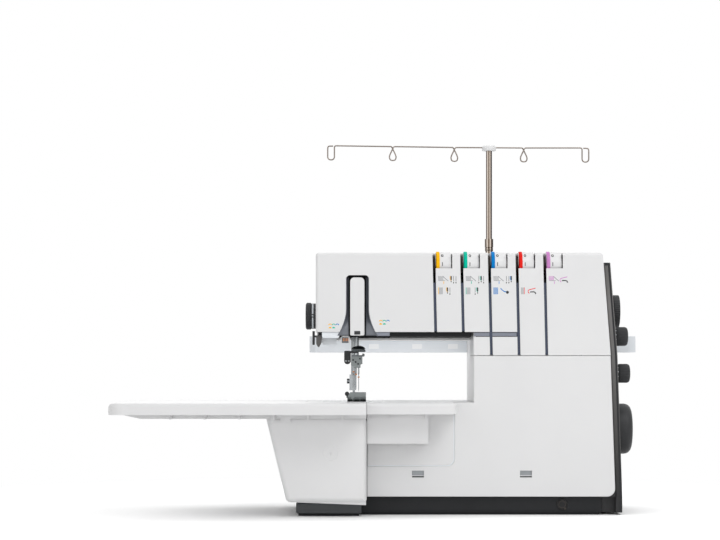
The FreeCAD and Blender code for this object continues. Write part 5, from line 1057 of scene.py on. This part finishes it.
class OVERLOCK_OT_under_head(bpy.types.Operator):
    """Adds the pale lip under the head, the thread cutter's blade and the small needle thread guide"""
    bl_idname = "overlock.under_head"
    bl_label = "Under the Head"

    def execute(self, context):
        self.lip(context.scene.overlock_sizes)
        self.cutter()
        self.guide()
        return {"FINISHED"}

    def lip(self, sizes):
        """The pale lip with its step at the lamp, and the slate rails on its right, whose slate grey paints the
        shade of recessed strips.
        """
        head_low, head_high = node_box("head_cover")
        front = node_box("tension_housing")[0].y
        foot = head_low.z - sizes.lip_drop
        top = head_low.z - LIP_SINK
        depths = (front - 1.7, front - 0.1)
        flare = sizes.recess_flare
        made = bmesh.new()
        plate(made, (sizes.lip_left, sizes.recess_left - flare - LIP_GAP), (foot, top), depths,
              (2.4, 2.4, 0, 0), steps=8)
        plate(made, (sizes.recess_right + flare + LIP_GAP, sizes.rail_left), (head_low.z - 5, top), depths,
              (1.0, 0.4, 0, 0), 1, 8)
        lean = math.tan(math.radians(sizes.slot_lean))
        slot = sizes.first_slot + 2 * sizes.mark_pitch + (head_high.z - head_low.z) * lean
        half = sizes.slot_gap / 2
        for across in ((sizes.rail_start, slot - half), (slot + half, sizes.rail_end)):
            plate(made, across, (head_low.z - 5.2, head_low.z - 0.6), (front - 0.9, front - 0.1), 0.4, 1)
        lamp_low, lamp_high = node_box("sewing_lamp")
        plate(made, (sizes.lip_left, lamp_high.x + 1.5), (lamp_low.z - sizes.lip_drop, foot + 1),
              (lamp_low.y - 3.4, lamp_low.y - 1.4), (3.0, 1.6, 0, 0), steps=8)
        bevel_edges(put("head_lip", made, ["tray", "slate"], BODY), 0.5, 3)

    def cutter(self):
        """The thread cutter: a post, a hooked blade and the bar between them."""
        low, high = node_box("thread_cutter")
        left, right = low.x + 0.4, high.x
        made = bmesh.new()
        plate(made, (left, left + 3), (low.z + 3, high.z + 5.5), (low.y + 0.5, high.y - 0.5),
              (1.2, 1.2, 0.4, 0.4), steps=8)
        slab(made, [(right - 6.8, high.z), (right, high.z), (right, low.z + 6.4), (right - 3.4, low.z),
                    (right - 5.4, low.z + 1.6), (right - 6.8, low.z + 4.8)], low.y, high.y, 1)
        plate(made, (left, right - 1), (high.z - 2.5, high.z), (low.y + 1, high.y - 1), 0)
        piece = bevel_edges(put("thread_cutter_blade", made, ["black", "charcoal"], BODY), 0.4)
        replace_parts(piece, "thread_cutter")

    def guide(self):
        """The needle thread guide: a white bracket round a dark plate with a slot for each thread."""
        low, high = node_box("needle_thread_guide")
        left, right, top = low.x - 1.2, high.x + 0.2, high.z + GUIDE_RISE
        made = bmesh.new()
        for across, foot in (((left, left + GUIDE_BAR), low.z), ((right - GUIDE_BAR, right), low.z),
                             ((left, right), high.z - 0.2)):
            plate(made, across, (foot, top), (low.y, high.y), 0.4)
        plate(made, (left + GUIDE_BAR, right - GUIDE_BAR), (low.z + 0.4, high.z - 0.2),
              (low.y + 1.2, low.y + 2.4), 0.2, 1, 2)
        for number in range(GUIDE_SLOTS):
            x = left + 2.9 + 1.95 * number
            plate(made, (x, x + 1.1), (low.z + 2.6, high.z - 1.4), (low.y + 1.0, low.y + 1.5), 0.5, 2, 4)
        piece = put("needle_thread_plate", made, ["white", "dark_steel", "orange"], BODY)
        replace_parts(bevel_edges(piece, 0.15, 2), "needle_thread_guide")


class OVERLOCK_OT_slot_floors(bpy.types.Operator):
    """Lays a blue-grey floor in the lower part of each thread slot, which paints the light that reaches the
    housing there
    """
    bl_idname = "overlock.slot_floors"
    bl_label = "Slot Floors"

    def execute(self, context):
        sizes = context.scene.overlock_sizes
        housing = node_box("tension_housing")[0].y
        head = node_box("head_cover")[1].z
        lean = math.tan(math.radians(sizes.slot_lean))
        top, half = sizes.slot_floor, sizes.slot_gap / 2
        made = bmesh.new()
        for number in range(len(THREADS)):
            foot = sizes.slot_short if number < 2 else sizes.slot_long
            middle = sizes.first_slot + sizes.mark_pitch * number
            corners = [(middle + lean * (head - z) + side, z)
                       for z, side in ((foot, -half), (foot, half), (top, half), (top, -half))]
            slab(made, corners, housing - 0.6, housing - 0.1)
        put("slot_floors", made, ["slot_floor"], BODY)
        return {"FINISHED"}


# Needle clamp, comb and presser foot

# (along, inset, grip) rows of the comb's dome, and (along, radius, grip) rows of small turned parts
COMB_ROWS = ((0, 1.4), (0.1, 0.4, 1), (0.6, 0, 1), (2.4, 0, 1), (2.5, 0.9), (3.3, 0.9), (3.4, 0.1, 1),
             (5.0, 0.6, 1), (6.4, 2.0, 1), (7.4, 4.4, 0.6), (8.0, 7.0))
ARM_SCREW = ((0, 1.3), (0.5, 1.3), (0.9, 0.7))
SIDE_SCREW = ((0, 1.9), (2.2, 1.9, 1), (2.9, 1.4))
LEVER_ROWS = ((0, 1.8), (0.4, 2.8), (5.4, 2.8, 1), (5.9, 2.0))
BAND_ROWS = ((0, -0.05), (0.1, -0.2), (1.6, -0.2), (1.7, -0.05))
COMB_TALL = 8.0
CLAMP_DEEP = 14.0
# (right, down) places of the clamp's set screws
SET_SCREWS = ((2.7, 4.6), (5.9, 7.1), (9.0, 9.6), (11.2, 3.0))
# drop of each needle's colour band below the needles' top
BAND_DROPS = (6.0, 9.2, 12.6)
# (back, up) outlines from the front of the foot's sole: a toe's curve below and above, and a groove
TOE_BELOW = ((0, 4.6), (0.6, 3.0), (3.6, 0.8), (7.0, 0))
TOE_ABOVE = ((8, 2.6), (3, 4.0), (0.8, 5.4))
GROOVE = ((1.2, 1.7), (4.4, 0.1), (4.6, 0.7), (1.6, 2.6))
GROOVE_HALF = 0.55
TOE_GAP = 1.2
SOLE_THICK = 2.6
NEEDLE_ROOM = 2.4
WINDOW_HALF = 7.5
EAR_ASIDE, EAR_HALF = 5.2, 1.2


class OVERLOCK_OT_needle_area(bpy.types.Operator):
    """Makes the ribbed thread comb, the threader arm, the needle clamp, colour bands and the presser foot"""
    bl_idname = "overlock.needle_area"
    bl_label = "Needle Area"

    def execute(self, context):
        self.comb()
        self.clamp()
        self.bands()
        self.foot()
        return {"FINISHED"}

    def comb(self):
        """A ribbed dome on the needle bar, with the threader's dark arm hanging on its left."""
        low, high = node_box("needle_guide_comb")
        y = centre("needle_guide_comb")[1]
        radius = (high.y - low.y) / 2
        middle = high.x - radius
        skirt = high.z - COMB_TALL
        made = bmesh.new()
        turn(made, (middle, y, skirt), ALONG_Z, profile(0, radius, COMB_ROWS), steps=160, ribs=20, groove=1.1)
        plate(made, (low.x, low.x + 8.4), (low.z, low.z + 17.0), (y - 5.0, y - 2.0), (4.1, 4.1, 1.6, 1.6),
              1, 8)
        plate(made, (low.x + 5, middle), (skirt - 1.4, skirt + 1.2), (y - 4.6, y - 1.6), 0.4, 1)
        for x in (low.x + 2.4, low.x + 6.0):
            turn(made, (x, y - 4.9, low.z + 4.2), TO_FRONT, ARM_SCREW, 20, slot=2)
        piece = put("thread_comb", made, ["dark_steel", "black", "bright"], "needle_bar")
        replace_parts(piece, "needle_guide_comb")

    def clamp(self):
        """A stepped steel clamp with a set screw for each needle and one on its side."""
        low, high = node_box("needle_clamp")
        left, right, foot, top = low.x, high.x, low.z, high.z
        front = high.y - CLAMP_DEEP
        made = bmesh.new()
        outline = [(left + 0.6, top), (right, top), (right, top - 9.6), (right - 2.4, top - 10.6),
                   (right - 2.4, foot), (left + 3.4, foot), (left + 3.4, foot + 2.2), (left, foot + 3.2),
                   (left, top - 0.6)]
        slab(made, outline, front, high.y)
        for aside, down in SET_SCREWS:
            x, z = left + aside, top - down
            plate(made, (x - 1.0, x + 1.0), (z - 1.0, z + 1.0), (front - 0.9, front + 0.4), 0.25, 1)
        plate(made, (left + 0.4, right - 0.2), (top - 0.3, top + 1.6), (front + 1.5, high.y - 1), 0.4, 2)
        turn(made, (right - 0.2, front + 7, top + 1.6), ALONG_X, SIDE_SCREW, steps=40, ribs=10, groove=0.3)
        piece = put("needle_clamp_block", made, ["satin", "black", "dark_steel"], "needle_bar")
        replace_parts(bevel_edges(piece, 0.2, 2), "needle_clamp")

    def bands(self):
        """A colour band on each needle's shank."""
        low, high = node_box("needles")
        radius = (high.y - low.y) / 2
        reach = (high.x - low.x) / 2 - radius
        made = bmesh.new()
        for x, drop in zip((-reach, 0, reach), BAND_DROPS):
            turn(made, (x, centre("needles")[1], high.z - drop), ALONG_Z, profile(0, radius, BAND_ROWS), 24)
        put("needle_bands", made, ["orange"], "needle_bar")

    def foot(self):
        """A foot with three turned-up toes, a grooved sole edge, a bevelled block and a small dark lever."""
        low, high = node_box("presser_foot")
        left, right, front, back, sole, top = low.x, high.x, low.y, high.y, low.z, high.z
        needles = node_box("needles")
        room = (needles[1].x - needles[0].x) / 2 + NEEDLE_ROOM
        needle = centre("needles")[1]
        before, behind = needle - WINDOW_HALF, needle + WINDOW_HALF
        wide = (right - left - 2 * TOE_GAP) / 3
        made = bmesh.new()

        def from_front(points):
            return [(front + along, sole + up) for along, up in points]

        for number, end in enumerate((behind + 2, before - 1, behind + 2)):
            toe = from_front(TOE_BELOW) + [(end, sole), (end, sole + SOLE_THICK)] + from_front(TOE_ABOVE)
            start = left + (wide + TOE_GAP) * number
            plank(made, toe, start, min(start + wide, -room) if number == 0 else start + wide)
            for groove in range(3):
                x = start + wide * (0.25 + 0.25 * groove)
                plank(made, from_front(GROOVE), x - GROOVE_HALF, x + GROOVE_HALF, 1)
        plank(made, [(behind, sole), (back - 3, sole), (back - 1, sole + 1.6), (back - 1, sole + SOLE_THICK),
                     (behind, sole + SOLE_THICK)], left, right)
        block = [(left + 0.2, sole + 2.2), (right, sole + 2.2), (right, top), (left + 3.6, top),
                 (left + 0.2, sole + 6)]
        slab(made, block, front + 6, before)
        slab(made, block, behind, front + 33)
        slab(made, [(left + 0.3, sole + 2.3), (-room, sole + 2.3), (-room, top - 0.2), (left + 3.7, top - 0.2),
                    (left + 0.3, sole + 6)], before - 0.5, behind + 0.5)
        plate(made, (room, right - 0.1), (sole + 2.3, top - 0.2), (before - 0.5, behind + 0.5), 0.2, steps=2)
        for side in (-1, 1):
            x = centre("presser_foot")[0] + EAR_ASIDE * side
            ear = [(front + 30, sole + 2.4), (back - 4, sole + 2.4), (back - 4, sole + 5.6),
                   (front + 30, top - 1)]
            plank(made, ear, x - EAR_HALF, x + EAR_HALF)
        turn(made, (left - 0.4, front + 8, sole + 9.4), TO_BACK, LEVER_ROWS,
             steps=60, ribs=12, groove=0.3, slot=2)
        plate(made, (left - 1.2, left + 2.2), (sole + 4.0, sole + 10.2), (front + 9, front + 12.5), 1.2, 2, 8)
        piece = put("presser_foot_sole", made, ["satin", "rubber", "black"], "presser_foot")
        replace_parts(bevel_edges(piece, 0.3, 2), "presser_foot")


# Bed, covers and the right-hand side

# (along, inset) rows of the knee socket's outer ring, and (along, radius) rows of its inner one
SOCKET_ROWS = ((0, 2), (0, 0), (12.4, 0), (13.0, 0.6), (13.0, 1.6), (12.0, 2.0), (12.0, 2.6))
SOCKET_RING = ((0, 4.0), (0, 4.6), (0.5, 4.6), (0.5, 4.0), (-6, 3.8))
SOCKET_KEY = ((3.4, 0.6), (5.2, 2.2), (3.9, 3.6), (2.2, 2.0))


class OVERLOCK_OT_bed_details(bpy.types.Operator):
    """Backs the hook slots and the seams of the bed, rings the knee lever socket and glazes the tray"""
    bl_idname = "overlock.bed_details"
    bl_label = "Bed Details"

    def execute(self, context):
        sizes = context.scene.overlock_sizes
        self.hooks(sizes)
        self.seams(sizes)
        self.socket()
        front = node_box("spool_tray")[0].y
        made = bmesh.new()
        for left in (sizes.pane_first, sizes.pane_second, sizes.pane_third):
            plate(made, (left, left + sizes.pane_wide), (sizes.pane_low, sizes.pane_low + sizes.pane_tall),
                  (front + 0.5, front + 1.7), 0.8, steps=4)
        put("tray_panes", made, ["milk"], BODY)
        return {"FINISHED"}

    def hooks(self, sizes):
        """A grey back that paints the shade in the slot, a white ledge and a dark foot behind each hook slot.
        """
        face = node_box("looper_cover")[0].y
        foot, top = sizes.hook_low, sizes.hook_low + sizes.hook_tall
        rows = ((2.1, top + 0.5, (3.0, 4.0), 0.5, 0, 3), (1.6, foot + 2.4, (1.4, 3.2), 0.2, 1, 2),
                (-0.5, foot + 1.7, (3.0, 4.0), 0.2, 2, 2))
        made = bmesh.new()
        for left in (sizes.hook_left, sizes.hook_right):
            across = (left - 0.5, left + sizes.hook_wide + 0.5)
            for rise, end, depths, radius, slot, steps in rows:
                plate(made, across, (foot + rise, end), [face + deep for deep in depths], radius, slot, steps)
        put("hook_slot_backs", made, ["hook_grey", "white", "black"], "looper_cover")

    def seams(self, sizes):
        """The backs of the insert's seam, of the gap at the cover's corner and of the bed's upright seam."""
        low, high = node_box("looper_cover")
        face = low.y
        insert_low, insert_high = node_box("cover_insert")
        right, foot, radius = sizes.insert_right, sizes.insert_low, sizes.insert_corner
        seam = [(right, insert_high.z - 16), *bow(right - radius, foot + radius, radius, 0, -90),
                (insert_low.x + 1, foot)]
        made = bmesh.new()
        slab(made, stroke(seam, 1.4), face + 1.0, face + 1.8)
        put("insert_seam_back", made, ["tray"], "looper_cover")

        right, foot, radius = high.x + 0.3, low.z - 0.3, sizes.cover_corner
        made = bmesh.new()
        corner = bow(right - radius, foot + radius, radius, 0, -90)
        slab(made, [(right, foot), *corner], face + 1.0, face + 3.0)
        put("cover_corner_fill", made, ["charcoal"], "looper_cover")

        low, high = node_box("bed_casing")
        made = bmesh.new()
        plate(made, (sizes.seam_left, sizes.seam_left + 0.8), (low.z + 2, high.z - 2),
              (low.y + 8, low.y + 40), 0.2, steps=2)
        put("bed_seam_rib", made, ["white"], BODY)

    def socket(self):
        """A rubber ring round the knee lever socket, and an oxidised ring with a key inside it."""
        low, high = node_box("knee_socket")
        x, _, z = centre("knee_socket")
        made = bmesh.new()
        turn(made, (x, high.y, z), TO_FRONT, profile(0, (high.x - low.x) / 2, SOCKET_ROWS), 64)
        turn(made, (x, low.y + 1.4, z), TO_FRONT, SOCKET_RING, 64, slot=1)
        slab(made, [(x + right, low.z + up) for right, up in SOCKET_KEY], low.y - 0.1, low.y + 0.8, 1)
        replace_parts(put("knee_socket_rings", made, ["rubber", "oxide_and_shade"], BODY), "knee_socket")


TOE_REACH = 23.5
LIP_SLOPE = 3.7
LIP_START = 29
STRIP = 3
PLINTH_FOOT = 0.15


class OVERLOCK_OT_base_details(bpy.types.Operator):
    """Makes the base's toe below the bed casing, the casing's sloping lip and the dark plinth that paints the
    contact shadow under the base
    """
    bl_idname = "overlock.base_details"
    bl_label = "Base Details"

    def execute(self, context):
        low, high = node_box("base_pan")
        casing = node_box("bed_casing")[0]
        seam = context.scene.overlock_sizes.seam_left
        made = bmesh.new()
        plate(made, (low.x + 0.2, seam - 5.5), (low.z, casing.z - 2.4), (low.y - TOE_REACH, low.y - 0.1),
              (3, 1, 1, 1), steps=8)
        bevel_edges(put("base_toe", made, ["iron"], BODY), 1.2, 3)

        start = casing.x + LIP_START
        made = bmesh.new()
        slab(made, [(start, casing.z + 0.3), (seam, casing.z + 0.3), (seam, casing.z - LIP_SLOPE),
                    (start, casing.z - 0.1)], casing.y + 5.5, low.y - 0.2)
        bevel_edges(put("casing_lip", made, ["white"], BODY), 0.3, 2)

        # the plinth: near-black strips under the base's edge, painted shade of the gap and contact shadow
        # between base and floor
        left, right, front, back = low.x + 3, high.x - 3, low.y + 2.5, high.y - 3
        toe, toe_front, inner = seam - 8.5, front - TOE_REACH, front + STRIP
        toe_inner = inner - TOE_REACH
        strips = [(toe, right, front, inner), (left, toe, toe_front, toe_inner),
                  (toe - STRIP, toe, toe_inner, inner), (left, left + STRIP, toe_inner, back),
                  (left + STRIP, right, back - STRIP, back), (right - STRIP, right, inner, back - STRIP)]
        made = bmesh.new()
        for x0, x1, y0, y1 in strips:
            plate(made, (x0, x1), (PLINTH_FOOT, low.z + 0.1), (y0, y1), 0)
        put("base_plinth_painted_shadow", made, ["nylon"], BODY)
        return {"FINISHED"}


TRIM_ROUND = 2.2
TRIM_TALL = 3.6
TRIM_WIDE = 2.1
TRIM_STEP = 4
ROCKER_RISE, ROCKER_FALL = 1.9, 1.0
ROCKER_MARKS = 0.06
RING_DOWN = 4.6
RING_STEPS = 24
BLADE = ((-1.1, -2.1), (1.1, -2.1), (1.1, 2.1), (-1.1, 2.1))
BLADE_PLACES = (-7, 0, 7)
LOUVRES = 9
LOUVRE_PITCH = 5.4
LOUVRE_INSET = 12
# (back, up) outline of a louvre's lip
LOUVRE = ((-0.3, 0), (1.3, -2.3), (1.5, -1.7), (0.5, 0.7), (-0.3, 0.9))
SCREW_REACH = 9
CROSS = ((1.9, 0.4), (0.4, 1.9))


class OVERLOCK_OT_side_details(bpy.types.Operator):
    """Adds the panel's trim, the switch's rocker, the inlet's blades, and the rear's crosses and louvres"""
    bl_idname = "overlock.side_details"
    bl_label = "Side and Rear Details"

    def execute(self, context):
        self.panel_trim()
        self.rocker()
        self.blades()
        self.crosses()
        self.louvres()
        return {"FINISHED"}

    def panel_trim(self):
        """A dark trim along the top and the outer edge of the side panel's front."""
        low, high = node_box("side_panel")
        points = [point.co / MM for point in NODES["side_panel"].data.vertices]
        front = [(point.x - NEEDLE_X, point.z) for point in points if point.y - FRONT_Y < low.y + 0.5]
        rows = {}
        for index in convex_hull_2d(front):
            x, z = front[index]
            rows.setdefault(round(z / TRIM_STEP), []).append((x, z))
        *side, (last, top) = sorted((max(row) for row in rows.values()), key=lambda point: point[1])
        near, near_z = side[-1]
        slope = (last - near) / (top - near_z)
        left = min(x for x, z in front if z > high.z - 1)
        corner = []
        for step in range(7):
            angle = math.pi / 2 * step / 6
            down = TRIM_ROUND * (1 - math.sin(angle))
            corner.append((last - TRIM_ROUND * (1 - math.cos(angle)) - slope * down, top - down))
        inner = [(left, top), (left, top - TRIM_TALL), (last - slope * TRIM_TALL - TRIM_WIDE, top - TRIM_TALL)]
        inner += [(x - TRIM_WIDE, z) for x, z in reversed(side)]
        made = bmesh.new()
        slab(made, side + corner + inner, low.y - 0.35, low.y + 2.2)
        bevel_edges(put("panel_trim", made, ["base"], BODY), 0.2, 2)

    def rocker(self):
        """A rocker that leans on its upper half, with a bar and a ring printed on it."""
        low, high = node_box("power_switch")
        _, y, middle = centre("power_switch")
        ridge = high.x - ROCKER_RISE

        def face(z):
            return ridge + (z - middle) * (ROCKER_RISE if z > middle else ROCKER_FALL) / (high.z - middle)

        def on_face(aside, z):
            return made.verts.new(spot(face(z) + ROCKER_MARKS, y + aside, z))

        made = bmesh.new()
        steps = [low.z + (high.z - low.z) * step / 8 for step in range(9)]
        slab(made, [(face(z), z) for z in steps] + [(low.x, high.z), (low.x, low.z)], low.y, high.y)
        bar = ((-0.5, 3), (0.5, 3), (0.5, 6.6), (-0.5, 6.6))
        add_face(made, [on_face(aside, middle + up) for aside, up in bar], 1)
        angles = [2 * math.pi * step / RING_STEPS for step in range(RING_STEPS)]
        join(made, *([on_face(radius * math.cos(a), middle - RING_DOWN + radius * math.sin(a)) for a in angles]
                     for radius in (1.3, 1.9)), 1)
        piece = bevel_edges(put("switch_rocker", made, ["black", "pale_ink"], "power_switch"), 0.5, 3)
        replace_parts(piece, "power_switch")

    def blades(self):
        """Three bronze blades in the mains inlet."""
        right = node_box("power_inlet")[1].x
        _, y, z = centre("power_inlet")
        made = bmesh.new()
        for aside in BLADE_PLACES:
            plank(made, [(y + aside + a, z + b) for a, b in BLADE], right - 17, right - 4.1)
        bevel_edges(put("inlet_blades", made, ["bronze"], BODY), 0.35, 3)

    def louvres(self):
        """Louvres over the motor on the rear, each a sloped lip over a dark strip that paints the shade of its
        slit.
        """
        low, high = node_box("motor")
        left, right = low.x + LOUVRE_INSET, high.x - LOUVRE_INSET
        rear = node_box("rear_cover")[1].y
        made = bmesh.new()
        for number in range(LOUVRES):
            z = low.z + 8 + LOUVRE_PITCH * number
            plank(made, [(rear + back, z + up) for back, up in LOUVRE], left, right)
            # a dark strip flush with the cover: painted shade of the slit under the lip
            plate(made, (left + 0.5, right - 0.5), (z - 2.4, z - 0.2), (rear - 0.3, rear + 0.05), 0.4, 1)
        put("motor_louvres", made, ["white", "nylon"], BODY)

    def crosses(self):
        """A dark cross on each screw head on the rear that paints the shade of its cross recess."""
        screws = NODES["casing_screws"]
        rear = node_box("casing_screws")[1].y
        heads = []
        for corner in screws.data.vertices:
            at = ((screws.matrix_world @ corner.co) / MM - Vector((NEEDLE_X, FRONT_Y, 0))).xz
            head = next((head for head in heads if (at - head[0]).length < SCREW_REACH), None)
            if head:
                head.append(at)
            else:
                heads.append([at])
        made = bmesh.new()
        for head in heads:
            x, z = ((min(ends) + max(ends)) / 2 for ends in zip(*head))
            for wide, tall in CROSS:
                # painted shade of the cross recess: a thin dark plate on the head
                plate(made, (x - wide, x + wide), (z - tall, z + tall), (rear - 0.2, rear + 0.06), 0.2, steps=2)
        put("screw_cross_painted_shade", made, ["rubber"], BODY)


# Spool stand

# (along, radius) rows of a pin's tip, and (along, inset) rows of the mast's collar and of the guide's cap
TIP_ROWS = ((0, 3.02), (1.4, 2.9), (2.4, 2.2), (3.0, 0.8))
COLLAR_ROWS = ((0, -0.4), (0.2, -1.2), (0.6, -1.4), (4.2, -1.4), (4.6, -0.85), (16, -0.8), (16.4, -0.6),
               (16.5, -0.1))
CAP_ROWS = ((0, 1), (0.4, 0.3), (1.1, 0), (5.4, 0), (6.3, 0.4), (6.9, 1.3), (7.2, 3.5))
TIP_TALL = 3
COLLAR_TALL = 16.4
CAP_TALL = 8.2
FINS = 6
FIN_HALF = 0.7


class OVERLOCK_OT_stand(bpy.types.Operator):
    """Fits each spool place with cone fins and a pin tip, and the mast with a collar and the guide's cap"""
    bl_idname = "overlock.stand"
    bl_label = "Spool Stand"

    def execute(self, context):
        pins = spool_places()
        low, high = node_box("cone_holders")
        y = centre("cone_holders")[1]
        radius = (high.y - low.y) / 2
        tip = node_box("spool_pins")[1].z
        made = bmesh.new()
        for x in pins:
            turn(made, (x, y, tip - TIP_TALL), ALONG_Z, TIP_ROWS, 32)
        put("pin_tips", made, ["tray"], BODY)

        foot, top = low.z + 3.0, high.z - 0.4
        outline = [(radius - 1.0, foot), (radius / 2 + 1.1, top), (radius / 2 - 1, top), (radius - 4, foot)]
        made = bmesh.new()
        for x in pins:
            for fin in range(FINS):
                angle = 2 * math.pi * fin / FINS
                out = Vector((math.cos(angle), math.sin(angle)))
                close_up(made, *([spot(x + out.x * reach - out.y * side, y + out.y * reach + out.x * side, z)
                                  for reach, z in outline] for side in (-FIN_HALF, FIN_HALF)))
        bevel_edges(put("cone_fins", made, ["tray"], BODY), 0.3, 2)

        x, y = centre("mast_tube")[:2]
        low, high = node_box("mast_top")
        bore = (high.x - low.x) / 2
        made = bmesh.new()
        turn(made, (x, y, node_box("mast_tube")[1].z - COLLAR_TALL), ALONG_Z, profile(0, bore, COLLAR_ROWS))
        put("mast_collar", made, ["tube"], BODY)

        low, high = node_box("guide_cap")
        rows = [(0, bore - 0.2), *profile(0, (high.x - low.x) / 2, CAP_ROWS), (7.3, 0.3)]
        made = bmesh.new()
        turn(made, (x, y, high.z - CAP_TALL), ALONG_Z, rows, 64)
        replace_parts(put("guide_cap_disc", made, ["white"], "thread_guide"), "guide_cap")
        return {"FINISHED"}


# Panel and registration

PIECES = (OVERLOCK_OT_finishes, OVERLOCK_OT_dials, OVERLOCK_OT_knobs, OVERLOCK_OT_guide_wire,
          OVERLOCK_OT_recess, OVERLOCK_OT_marks, OVERLOCK_OT_under_head, OVERLOCK_OT_slot_floors,
          OVERLOCK_OT_needle_area, OVERLOCK_OT_bed_details, OVERLOCK_OT_base_details,
          OVERLOCK_OT_side_details, OVERLOCK_OT_stand, OVERLOCK_OT_stage)
STEPS = [piece.bl_idname.split(".")[1] for piece in PIECES]


class OVERLOCK_PT_panel(bpy.types.Panel):
    """Lists the machine's pieces"""
    bl_idname = "OVERLOCK_PT_panel"
    bl_label = "Overlock Machine"
    bl_space_type = "VIEW_3D"
    bl_region_type = "UI"
    bl_category = "Overlock"

    def draw(self, context):
        column = self.layout.column()
        for step in STEPS:
            column.operator(f"overlock.{step}")
        for group in (context.scene.overlock_sizes, context.scene.overlock_colours):
            for name in group.__annotations__:
                column.prop(group, name)


CLASSES = (OverlockColours, OverlockSizes, *PIECES, OVERLOCK_PT_panel)


def register():
    for item in CLASSES:
        bpy.utils.register_class(item)
    bpy.types.Scene.overlock_colours = PointerProperty(type=OverlockColours)
    bpy.types.Scene.overlock_sizes = PointerProperty(type=OverlockSizes)


def unregister():
    del bpy.types.Scene.overlock_sizes
    del bpy.types.Scene.overlock_colours
    for item in reversed(CLASSES):
        bpy.utils.unregister_class(item)


def main():
    register()
    for step in STEPS:
        getattr(bpy.ops.overlock, step)()


if __name__ == "__main__":
    main()
